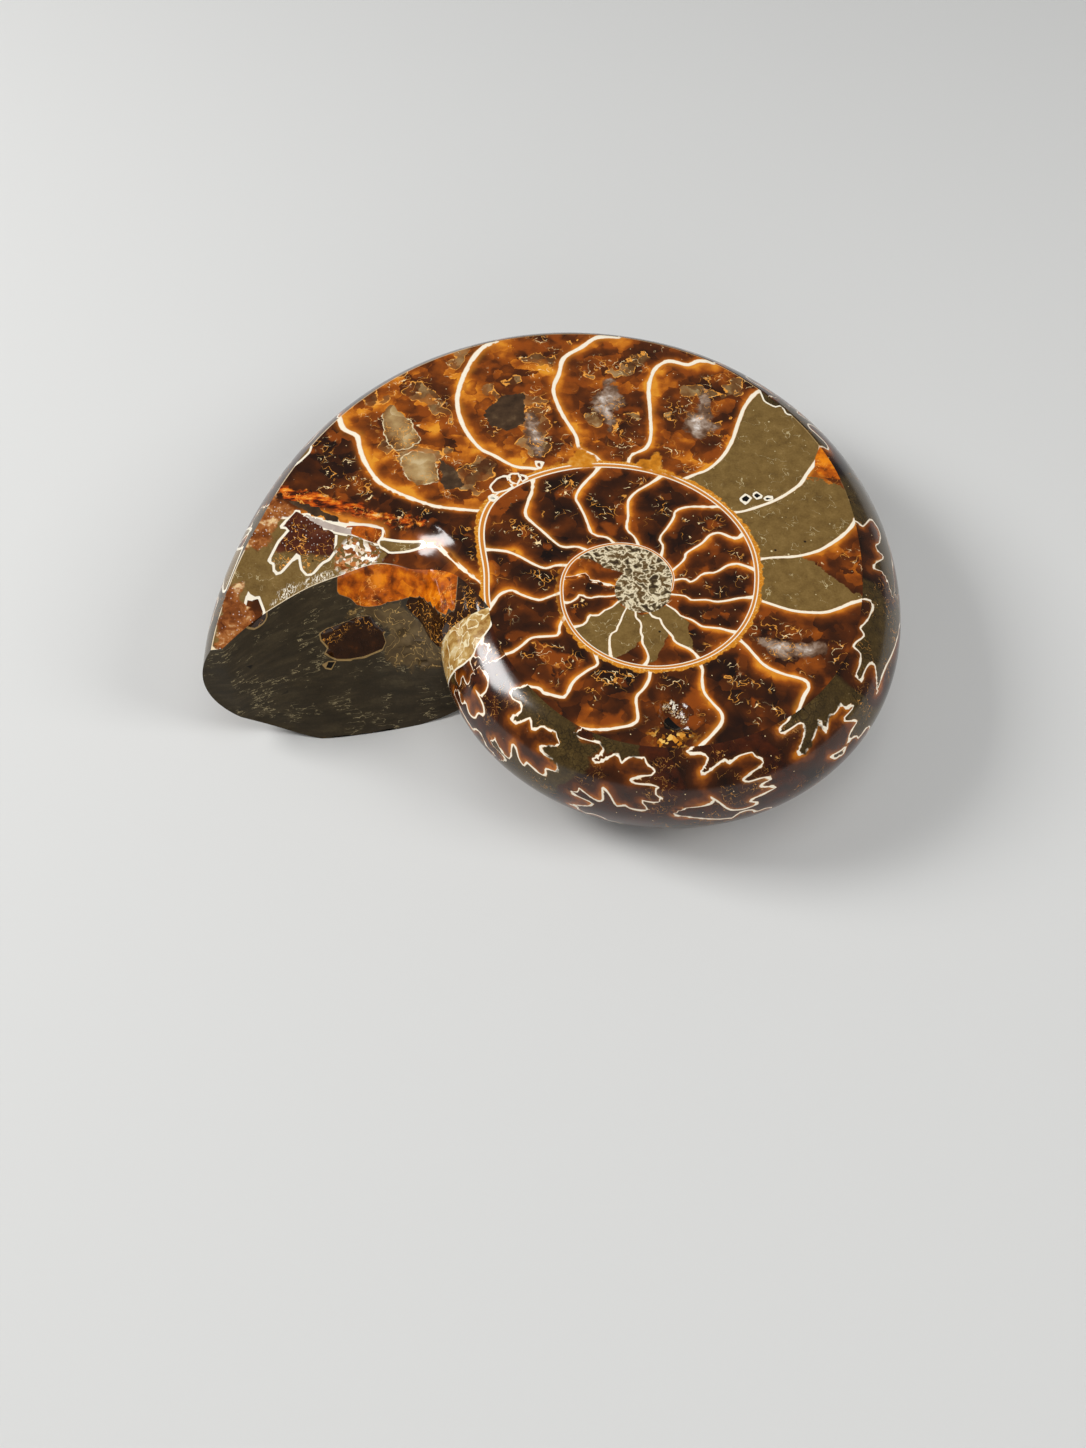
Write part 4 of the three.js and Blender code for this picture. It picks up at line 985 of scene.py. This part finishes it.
def makeFossilMaterial():
    material, s, spot = emptyMaterial("polishedFossil")
    spot = s.vector("MULTIPLY_ADD", spot, (1 / metres,) * 3, tuple(centre))
    plan = s.vector("MULTIPLY", spot, (1, 1, 0))
    radius = s.vector("LENGTH", plan, output=1)
    marksNode = s.add("ShaderNodeAttribute", {}, attribute_name="marks")
    split = s.add("ShaderNodeSeparateColor", {0: marksNode.outputs["Color"]}).outputs
    growth, span, wallGap, across = split[0], split[1], split[2], marksNode.outputs["Alpha"]
    zonesNode = s.add("ShaderNodeAttribute", {}, attribute_name="zones")
    split = s.add("ShaderNodeSeparateColor", {0: zonesNode.outputs["Color"]}).outputs
    rimMask, underMask, brokenMask = split[0], split[1], split[2]
    flankMask = s.calc("ADD", rimMask, underMask, clamp=True)

    patchNode = s.add("ShaderNodeAttribute", {}, attribute_name="patches")
    split = s.add("ShaderNodeSeparateColor", {0: patchNode.outputs["Color"]}).outputs
    patchGap, patchKind, patchEdge = split[0], split[1], split[2]
    edgeDistance = patchNode.outputs["Alpha"]

    # distances to the sutures
    share = s.calc("FRACT", growth)
    chamber = s.calc("FLOOR", growth)
    fromLast = s.times(share, span)
    toNext = s.minus(span, fromLast)
    gap = s.calc("MINIMUM", fromLast, toNext)

    def perChamber(rows):  # each chamber's own row of a table
        slot = s.timesPlus(chamber, 1 / rampSlots, 0.5 / rampSlots)
        return s.ramp(slot, [(index / rampSlots, row) for index, row in enumerate(rows)], "CONSTANT")

    looks = perChamber(chambers)
    look = s.add("ShaderNodeSeparateColor", {0: looks[0]}).outputs
    stoneHigh, stoneLow, cloudShare, darkShare = look[0], look[1], look[2], looks[1]

    # slow and fine unevenness
    slow = s.noise(spot, finish["slowScale"], 2, 0.5)
    middle = s.noise(spot, finish["middleScale"], 3, 0.55)
    fine = s.noise(spot, finish["fineScale"], 3, 0.6)
    drift = s.noise(spot, finish["driftScale"], 3, 0.55, output=1)
    warped = s.vector("MULTIPLY_ADD", drift, finish["drift"], spot)

    def random(cells, channel=0):
        return s.add("ShaderNodeSeparateColor", {0: cells[1]}).outputs[channel]

    def threads(scale, width, gate, detail=2.0, place=None):  # thin winding lines
        field = s.noise(warped if place is None else place, scale, detail, 0.6)
        field = s.calc("ABSOLUTE", s.minus(field, 0.5))
        return s.times(s.inverse(s.ease(field, width * 0.3, width)), gate)

    # amber calcite, dark towards the middle of each chamber
    edgeGap = s.calc("MINIMUM", s.times(fromLast, 2.6), toNext)
    edgeGap = s.calc("MINIMUM", edgeGap, s.times(wallGap, 1.2))
    depth = s.ease(edgeGap, -0.3, s.timesPlus(radius, 0.06, 1.0))
    facets = s.cells(warped, 0.5)
    facetTone = random(facets)
    shade = s.timesPlus(depth, s.timesPlus(darkShare, 0.5, 0.14), 0.1)
    shade = s.sway(slow, 1.2, shade)
    shade = s.sway(facetTone, s.times(depth, 0.34), shade)
    shade = s.sway(middle, 0.34, shade, clamp=True)
    calcite = s.tones(shade, "calcite")
    glow = s.times(s.ease(s.noise(warped, 0.32, 1), 0.54, 0.66), s.ease(facetTone, 0.35, 0.6))
    calcite = s.mix(s.times(glow, 0.75), calcite, s.tint("glow"))
    # pale clouds in the middle of some chambers, with a bright rim
    cloudField = s.timesPlus(depth, 0.35, s.noise(warped, 0.24, 2, 0.5))
    cloudField = s.calc("ADD", cloudField, s.timesPlus(cloudShare, 0.2, -1.1))
    cloudMask = s.ease(cloudField, 0.0, 0.012)
    glass = s.cells(warped, 0.42)
    glassTone = s.timesPlus(random(glass), 0.5, s.timesPlus(glass[0], 0.35, -0.15))
    cloudTone = s.sway(middle, 0.9, glassTone)
    cloud = s.tones(cloudTone, "cloud")
    cloudRim = s.inverse(s.ease(s.calc("ABSOLUTE", cloudField), 0.004, 0.012))
    calcite = s.mix(s.times(cloudMask, 0.6), calcite, cloud)
    calcite = s.mix(s.times(cloudRim, s.ease(middle, 0.42, 0.52)), calcite, s.tint("gold"))
    # thin golden cracks, and white curls and flecks that are partly painted sparkle glints
    core = s.times(s.ease(s.noise(spot, 0.3, 1), 0.5, 0.6), s.ease(depth, 0.6, 1.0))
    curls = s.times(core, s.ease(s.noise(spot, 0.9, 1), 0.5, 0.58))
    calcite = s.mix(s.times(threads(0.6, 0.014, core, 1.0), 0.8), calcite, s.tint("gold"))
    calcite = s.mix(threads(1.0, 0.02, curls, 0.5), calcite, s.tint("fleckAndGlint"))
    flecks = s.cells(spot, 1.6)
    fleckGate = s.times(s.ease(random(flecks), 0.7, 0.72), s.ease(depth, 0.2, 0.7))
    fleckAndGlint = s.times(fleckGate, s.inverse(s.ease(flecks[0], 0.05, 0.13)))
    calcite = s.mix(fleckAndGlint, calcite, s.tint("fleckAndGlint"))

    # olive stone filling
    stoneTone = s.timesPlus(fine, 0.7, s.timesPlus(middle, 0.9, -0.35))
    stone = s.tones(stoneTone, "stone")
    veins = threads(0.35, 0.006, s.ease(s.noise(spot, 0.5, 1), 0.45, 0.6), 3.0)
    stone = s.mix(s.times(veins, 0.6), stone, s.tint("stoneSpeck"))
    for scale, rarity, size, colourName in ((1.1, 0.6, 0.1, "stoneSpeck"), (0.55, 0.7, 0.09, "stoneSpeck"),
                                            (0.6, 0.8, 0.13, "stoneFlake")):
        specks = s.cells(spot, scale)
        speck = s.times(s.ease(random(specks), rarity, rarity + 0.02),
                        s.inverse(s.ease(specks[0], size * 0.4, size)))
        stone = s.mix(speck, stone, s.tint(colourName))
    wander = s.sway(middle, 0.2, across)
    stoneTop = s.timesPlus(s.inverse(share), finish["stoneSlope"], stoneHigh)
    stoneMask = s.times(s.ease(s.minus(wander, stoneLow), -0.01, 0.01),
                        s.ease(s.minus(stoneTop, wander), -0.006, 0.006))
    stoneMask = s.times(stoneMask, s.ease(stoneHigh, 0.01, 0.05))
    faceColour = s.mix(stoneMask, calcite, stone)

    # mottled first chamber
    discColour = s.tones(s.noise(warped, 1.15, 2, 0.5), "disc")
    discMask = s.inverse(s.ease(radius, shell["discRadius"] - 0.08, shell["discRadius"]))
    firstRoom = s.times(s.calc("LESS_THAN", chamber, 0.5),
                        s.ease(s.timesPlus(middle, 1.5, toNext), 2.9, 3.0))
    discMask = s.calc("MAXIMUM", discMask, firstRoom)
    faceColour = s.mix(discMask, faceColour, discColour)

    # flank: amber leaves on ground that runs from maroon to olive
    maroon = s.tones(s.timesPlus(fine, 0.25, s.times(middle, 0.8)), "maroon")
    flankStone = s.tones(stoneTone, "flankStone")
    net = s.cells(warped, 1.5, "DISTANCE_TO_EDGE")[0]
    net = s.times(s.inverse(s.ease(net, 0.0, 0.09)), s.ease(slow, 0.4, 0.6))
    flankStone = s.mix(s.times(net, 0.6), flankStone, s.tint("black"))
    flankLooks = perChamber([(stony, stony, stony, 1) for stony in rimStone])[0]
    groundKind = s.calc("ADD", flankLooks, s.timesPlus(s.noise(spot, 0.16, 2, 0.5), 0.8, -0.4))
    groundKind = s.ease(groundKind, 0.44, 0.56)
    ground = s.mix(groundKind, maroon, flankStone)
    leafShade = s.timesPlus(toNext, 0.36, s.timesPlus(slow, 1.2, -0.44))
    leafShade = s.sway(middle, 0.6, leafShade, clamp=True)
    leaf = s.tones(leafShade, "leaf")
    flankColour = s.mix(s.ease(s.timesPlus(middle, 0.2, share), 0.6, 0.72), ground, leaf)
    flankGold = s.times(s.ease(slow, 0.52, 0.6), 0.7)
    flankColour = s.mix(threads(0.9, 0.01, flankGold), flankColour, s.tint("creamEdge"))
    # the same white flecks on the flank, partly painted glints
    flankColour = s.mix(fleckAndGlint, flankColour, s.tint("fleckAndGlint"))
    colour = s.mix(flankMask, faceColour, flankColour)

    # sutures with an amber halo
    wobble = s.timesPlus(s.noise(spot, 0.7, 2), 0.9, 0.55)
    faceWidth = s.timesPlus(radius, finish["sutureGrowth"], finish["sutureWidth"])
    joint = s.minus(1.7, s.times(s.ease(wallGap, 0.0, 1.3), 0.7))
    faceWidth = s.times(faceWidth, joint)
    halfWidth = s.times(wobble, s.mixValue(flankMask, faceWidth, finish["rimSutureWidth"]))
    halo = s.inverse(s.ease(gap, 0.0, s.times(halfWidth, finish["haloReach"])))
    plain = s.inverse(s.mixValue(flankMask, stoneMask, s.times(groundKind, 0.6)))
    plain = s.times(plain, s.mixValue(s.ease(share, 0.45, 0.55), 0.2, 1.0))
    haloMask = s.times(s.times(halo, halo), plain)
    haloMask = s.times(haloMask, s.mixValue(flankMask, finish["haloFace"], finish["haloRim"]))
    colour = s.mix(haloMask, colour, s.tint("halo"))
    line = s.inverse(s.ease(s.calc("DIVIDE", gap, halfWidth), 0.85, 1.15))
    lineTone = s.mix(s.ease(s.calc("DIVIDE", gap, halfWidth), 0.6, 1.1), s.tint("cream"),
                     s.tint("creamEdge"))
    line = s.times(line, s.inverse(discMask))
    colour = s.mix(line, colour, lineTone)
    # painted highlight: a pale line along the outer edge of the ground face and along the arch, cream near
    # the mouth, for the light that the polished bevel catches
    edge = s.inverse(s.ease(edgeDistance, *finish["edgeHighlightWidth"]))
    edge = s.times(edge, s.times(s.ease(radius, 26, 32), zonesNode.outputs["Alpha"]))
    colour = s.mix(s.times(edge, s.ease(chamber, 27, 30)), colour, s.tint("cream"))
    colour = s.mix(s.times(edge, 0.5), colour, s.tint("edgeHighlight"))

    # the doubled wall between the turns
    wallSpan = s.timesPlus(radius, finish["wallGrowth"], finish["wallWidth"])
    wallShare = s.calc("DIVIDE", wallGap, wallSpan)
    wallCore = s.inverse(s.ease(wallShare, 0.8, 1.3))
    outerSide = s.calc("LESS_THAN", across, 0.5)
    beads = s.timesPlus(s.noise(spot, 1.5, 1), 0.9, -0.05)
    beads = s.inverse(s.ease(s.minus(wallGap, wallSpan), beads, s.calc("ADD", beads, 0.16)))
    beads = s.times(beads, s.times(outerSide, s.ease(radius, 9, 10)))
    beadTone = s.mix(s.ease(fine, 0.5, 0.7), s.tint("goldFill", 1), s.tint("goldFill", 2))
    wallLine = s.calc("ABSOLUTE", s.minus(wallShare, 1.0))
    wallLine = s.inverse(s.ease(wallLine, 0.2, 0.4))
    faceOnly = s.inverse(s.calc("ADD", flankMask, brokenMask, clamp=True))
    colour = s.mix(s.times(beads, faceOnly), colour, beadTone)
    colour = s.mix(s.times(wallCore, faceOnly), colour, s.tint("wallCore"))
    colour = s.mix(s.times(wallLine, faceOnly), colour, s.tint("cream"))

    # the matte broken end, with fine level scratches
    stretched = s.vector("MULTIPLY", spot, (0.3, 0.3, 1.7))
    layered = s.noise(stretched, 0.8, 4, 0.65)
    brokenColour = s.tones(s.timesPlus(fine, 0.45, s.timesPlus(layered, 1.2, -0.35)), "broken")
    scratches = threads(1.1, 0.012, s.ease(s.noise(spot, 0.4, 2), 0.5, 0.6), 3.0, stretched)
    brokenColour = s.mix(s.times(scratches, 0.7), brokenColour, s.tint("scratch"))
    colour = s.mix(brokenMask, colour, brokenColour)

    # patches, some outlined and some with a soft uneven edge
    inside = s.inverse(s.ease(patchGap, -0.03, 0.03))
    softGap = s.sway(middle, 2.4, patchGap)
    softInside = s.inverse(s.ease(softGap, -0.35, 0.1))
    glassGap = s.sway(middle, 1.4, patchGap)
    glassInside = s.inverse(s.ease(glassGap, -0.1, 0.0))
    glassRim = s.inverse(s.ease(s.calc("ABSOLUTE", glassGap), 0.04, 0.12))
    glassRim = s.times(glassRim, s.ease(slow, 0.45, 0.55))
    crystal = s.cells(warped, 2.6)
    tone = s.timesPlus(middle, 1.3, -0.15, clamp=True)
    strong = s.timesPlus(s.noise(warped, 0.7, 3, 0.6), 2.4, -0.7, clamp=True)
    streaks = s.noise(s.vector("MULTIPLY", warped, (1.0, 1.0, 0.35)), 1.1, 3, 0.6)
    longways = s.noise(s.vector("MULTIPLY", spot, (0.5, 1.6, 1.0)), 0.8, 4, 0.65)
    longways = s.timesPlus(longways, 2.2, -0.6, clamp=True)
    inward = s.timesPlus(patchGap, -0.3, s.timesPlus(strong, 0.7, -0.05), clamp=True)
    glassTone = s.timesPlus(patchGap, -0.16, glassTone)
    glassTone = s.sway(middle, 0.6, glassTone, clamp=True)
    level = s.add("ShaderNodeSeparateXYZ", {0: spot}).outputs[1]
    level = s.ease(s.timesPlus(middle, 1.2, level), finish["stoneLevel"] + 1.0, finish["stoneLevel"] + 0.3)
    specky = s.cells(spot, 3.2)
    specky = s.times(s.ease(random(specky), 0.6, 0.62), s.inverse(s.ease(specky[0], 0.12, 0.3)))
    speckled = s.mix(specky, s.tones(middle, "speckled"), s.tint("pale", 1))
    hatchSpot = s.vector("MULTIPLY", spot, (1.6, 0.5, 1.0))
    comb = threads(2.2, 0.05, 1.0, 2.0, hatchSpot)
    looksInside = dict(
        # pale is the painted reflection band on the bevel
        pale=s.tones(tone, "pale"), leaf=s.tones(shade, "leaf"), black=s.tint("black"),
        maroon=s.mix(level, speckled, stone), stone=stone, hatch=s.tint("cream"), olive=flankStone,
        orange=s.tones(s.timesPlus(facetTone, 0.35, s.timesPlus(middle, 1.6, -0.6)), "orange"),
        polished=s.tones(middle, "polished"), druse=s.tones(random(crystal), "druse"),
        nacre=s.tones(streaks, "nacre"), swirl=s.tones(middle, "swirl"),
        cloud=s.tones(glassTone, "cloud"), pocket=s.tones(tone, "pocket"),
        star=s.tones(inward, "star"), gold=s.tones(tone, "goldFill"),
        grit=s.tones(random(crystal), "goldFill"), fire=s.tones(longways, "fire"),
        mottle=s.mix(specky, s.tones(strong, "mottle"), s.tint("pale", 1)))
    smooth = s.inverse(brokenMask)
    for kind, fill in looksInside.items():
        isKind = s.calc("COMPARE", patchKind, fills[kind], 0.5)
        soft = kind in ("star", "gold", "fire", "mottle", "swirl")
        shape = glassInside if kind in ("cloud", "pocket") else softInside if soft else inside
        if kind == "olive":
            shape = s.mixValue(flankMask, inside, softInside)
        mask = s.times(shape, isKind)
        if kind == "druse":
            mask = s.times(s.ease(softGap, 0.3, -0.5), isKind)
            mask = s.times(mask, s.ease(random(crystal, 1), 0.25, 0.3))
        if kind == "grit":
            mask = s.times(s.ease(softGap, 0.9, -0.4), isKind)
            mask = s.times(mask, s.ease(random(crystal, 1), 0.45, 0.5))
        if kind == "hatch":
            mask = s.times(comb, s.times(s.ease(softGap, 0.5, -0.2), isKind))
        colour = s.mix(mask, colour, fill)
        if kind in ("orange", "polished"):
            smooth = s.calc("ADD", smooth, mask, clamp=True)
        if kind in ("maroon", "polished", "orange", "fire", "star", "cloud"):
            glints = threads(0.9, 0.014, s.times(mask, s.ease(slow, 0.45, 0.55)))
            colour = s.mix(glints, colour, s.tint("gold"))
        if kind == "cloud":
            colour = s.mix(s.times(glassRim, isKind), colour, s.tint("cloud", -1))
        if kind == "nacre":
            colour = s.mix(threads(0.6, 0.035, mask, 1.0), colour, s.tint("nacre", -1))
        if kind == "swirl":
            colour = s.mix(threads(0.8, 0.014, s.times(mask, 0.8), 1.0), colour, s.tint("nacre", 2))
    outline = s.calc("DIVIDE", s.calc("ABSOLUTE", patchGap), s.timesPlus(patchEdge, 0.14, 0.01))
    outline = s.inverse(s.ease(outline, 0.75, 1.1))
    outline = s.times(outline, s.ease(patchEdge, 0.02, 0.3))
    colour = s.mix(outline, colour, s.mix(brokenMask, s.tint("cream"), s.tint("brokenEdge")))

    roughness = s.mixValue(smooth, finish["brokenRoughness"], finish["polishedRoughness"])
    shader = s.add("ShaderNodeBsdfPrincipled", {"Base Color": colour, "Roughness": roughness})
    s.add("ShaderNodeOutputMaterial", {"Surface": shader.outputs[0]})
    return material


def makeCrystalMaterial():
    material, s, spot = emptyMaterial("paleCrystal")
    tone = s.noise(s.vector("MULTIPLY", spot, (1 / metres,) * 3), 1.3, 2)
    colour = s.tones(s.timesPlus(tone, 2.4, -0.7, clamp=True), "crystal")
    shader = s.add("ShaderNodeBsdfPrincipled", {"Base Color": colour,
                                                "Roughness": finish["crystalRoughness"]})
    s.add("ShaderNodeOutputMaterial", {"Surface": shader.outputs[0]})
    return material


fossilMaterial = makeFossilMaterial()
fossil.data.materials.append(fossilMaterial)
print("material made")


def newTree(name, inputs):  # a geometry tree with named inputs
    tree = bpy.data.node_groups.new(name, "GeometryNodeTree")
    tree.interface.new_socket("Geometry", in_out="INPUT", socket_type="NodeSocketGeometry")
    for label, kind in inputs.items():
        tree.interface.new_socket(label, in_out="INPUT", socket_type="NodeSocket" + kind)
    tree.interface.new_socket("Geometry", in_out="OUTPUT", socket_type="NodeSocketGeometry")
    return tree, Nodes(tree), tree.nodes.new("NodeGroupInput").outputs


def closeTree(tree, nodes, geometry, material):
    real = nodes.add("GeometryNodeRealizeInstances", {0: geometry}).outputs[0]
    done = nodes.add("GeometryNodeSetMaterial", {"Geometry": real, "Material": material}).outputs[0]
    tree.links.new(done, tree.nodes.new("NodeGroupOutput").inputs[0])


def applyTree(piece, tree, values):  # runs the tree and keeps its result as a plain mesh
    modifier = piece.modifiers.new(tree.name, "NODES")
    modifier.node_group = tree
    for item in tree.interface.items_tree:
        if item.in_out == "INPUT" and item.name in values:
            modifier[item.identifier] = values[item.name]
    shaped = piece.evaluated_get(bpy.context.evaluated_depsgraph_get())
    mesh = bpy.data.meshes.new_from_object(shaped)
    piece.modifiers.clear()
    piece.data = mesh
    mesh.name = piece.name


relief = dict(depth=0.35, grain=0.9)


def reliefTree():  # roughens the broken end
    tree, nodes, inputs = newTree("breakRelief", {"Depth": "Float", "Grain": "Float",
                                                  "Material": "Material"})
    zones = nodes.add("GeometryNodeInputNamedAttribute", {"Name": "zones"},
                      data_type="FLOAT_COLOR").outputs[0]
    mask = nodes.add("FunctionNodeSeparateColor", {0: zones}).outputs[2]
    spot = nodes.add("GeometryNodeInputPosition", {}).outputs[0]
    rough = nodes.noise(nodes.vector("SCALE", spot, scale=inputs["Grain"]), 1.0, 4.0, 0.6)
    lower = nodes.times(nodes.minus(rough, 1.0), inputs["Depth"])
    lower = nodes.times(lower, nodes.ease(mask, 0.6, 1.0))
    normal = nodes.add("GeometryNodeInputNormal", {}).outputs[0]
    spot = nodes.vector("ADD", spot, nodes.vector("SCALE", normal, scale=lower))
    spot = nodes.vector("MAXIMUM", spot, (-1, -1, 0))  # nothing goes below the ground
    moved = nodes.add("GeometryNodeSetPosition", {"Geometry": inputs["Geometry"],
                                                  "Position": spot}).outputs[0]
    closeTree(tree, nodes, moved, inputs["Material"])
    return tree


def crystalTree():  # small pointed crystals standing on a surface
    tree, nodes, inputs = newTree("crystalCluster", {"Density": "Float", "Height": "Float", "Width": "Float",
                                                     "Sides": "Int", "Seed": "Int", "Material": "Material"})
    seed, lean = inputs["Seed"], vug["crystalLean"]
    spots = nodes.add("GeometryNodeDistributePointsOnFaces", {
        "Mesh": inputs["Geometry"], "Density": inputs["Density"], "Seed": seed}).outputs
    crystal = nodes.add("GeometryNodeMeshCone", {
        "Vertices": inputs["Sides"], "Radius Top": 0.0, "Radius Bottom": inputs["Width"],
        "Depth": inputs["Height"]}, fill_type="TRIANGLE_FAN").outputs["Mesh"]
    turn = nodes.add("FunctionNodeRandomValue", {
        "Min": (-lean, -lean, 0), "Max": (lean, lean, vug["crystalTurn"]), "Seed": seed},
                     data_type="FLOAT_VECTOR").outputs[0]
    size = nodes.add("FunctionNodeRandomValue", {
        2: vug["smallestCrystal"], 3: 1.0, "Seed": seed}, data_type="FLOAT").outputs[1]
    placed = nodes.add("GeometryNodeInstanceOnPoints", {
        "Points": spots["Points"], "Instance": crystal, "Rotation": turn, "Scale": size}).outputs[0]
    closeTree(tree, nodes, placed, inputs["Material"])
    return tree


applyTree(fossil, reliefTree(), {"Depth": relief["depth"] * metres, "Grain": relief["grain"] / metres,
                                 "Material": fossilMaterial})
middles = points[faces].mean(1)
inBed = (vugShare(middles) < vug["bedReach"]) & (middles[:, 2] > faceHeight / 2)
inBed &= insideOutline(middles[:, :2], polarPlan(np.array(vug["crystalBand"])))
bedFaces = faces[inBed]
used, bed = np.unique(bedFaces, return_inverse=True)
crystals = makePiece("vugCrystals", points[used], bed.reshape(-1, 3), centre)
applyTree(crystals, crystalTree(), {
    "Density": vug["crystals"] / metres**2, "Height": vug["crystalHeight"] * metres,
    "Width": vug["crystalWidth"] * metres, "Sides": vug["crystalSides"], "Seed": vug["seed"],
    "Material": makeCrystalMaterial()})
print("crystals", len(crystals.data.polygons))

# Each light: name, place, size, power, and whether polished surfaces mirror it.
setting = dict(
    floorSize=1.2, floorColour=(214, 214, 212), floorRoughness=0.9, sky=(0.95, 0.97, 1.0, 1),
    skyStrength=0.13, viewPitch=57.3, lens=34.73, sensor=36, clipStart=0.005,
    cameraSpot=(-10.877, -94.36, 120.0),  # from the coil's centre and the face
    lights=[("leftSoftLight", (-0.32, 0.05, 0.26), 0.15, 1.25, True),
            ("rightSoftLight", (0.34, -0.10, 0.28), 0.18, 0.7, False),
            ("frontSoftLight", (0.02, -0.42, 0.2), 0.2, 0.4, False),
            ("topSoftLight", (0.05, -0.05, 0.6), 0.4, 0.8, False)],
)


def makeFloor():
    half = setting["floorSize"] / 2
    mesh = bpy.data.meshes.new("floor")
    mesh.from_pydata([(-half, -half, 0), (half, -half, 0), (half, half, 0), (-half, half, 0)], [],
                     [(0, 1, 2, 3)])
    floor = bpy.data.objects.new("floor", mesh)
    bpy.context.scene.collection.objects.link(floor)
    material = bpy.data.materials.new("paleFloor")
    material.use_nodes = True
    shader = material.node_tree.nodes["Principled BSDF"]
    shader.inputs["Base Color"].default_value = lin(setting["floorColour"])
    shader.inputs["Roughness"].default_value = setting["floorRoughness"]
    mesh.materials.append(material)
    return floor


def addLight(name, place, size, power, mirrored):
    light = bpy.data.lights.new(name, "AREA")
    light.size, light.energy = size, power
    lamp = bpy.data.objects.new(name, light)
    lamp.location = place
    lamp.rotation_euler = (-Vector(place)).to_track_quat("-Z", "Y").to_euler()
    lamp.visible_glossy = mirrored
    bpy.context.scene.collection.objects.link(lamp)


def addCamera():
    camera = bpy.data.cameras.new("photoCamera")
    camera.lens, camera.sensor_width = setting["lens"], setting["sensor"]
    camera.clip_start = setting["clipStart"]
    holder = bpy.data.objects.new("photoCamera", camera)
    spot = np.array(setting["cameraSpot"]) + [0, 0, faceHeight] - centre
    holder.location = spot * metres
    holder.rotation_euler = (math.radians(90 - setting["viewPitch"]), 0, 0)
    bpy.context.scene.collection.objects.link(holder)
    bpy.context.scene.camera = holder


floor = makeFloor()
addCamera()
for row in setting["lights"]:
    addLight(*row)
world = bpy.data.worlds.new("studio")
world.use_nodes = True
sky = world.node_tree.nodes["Background"].inputs
sky[0].default_value, sky[1].default_value = setting["sky"], setting["skyStrength"]
bpy.context.scene.world = world
bpy.context.scene.view_settings.view_transform = "Standard"

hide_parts("ammonite")
for piece in (fossil, crystals):
    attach(piece, "root")
print("finished")
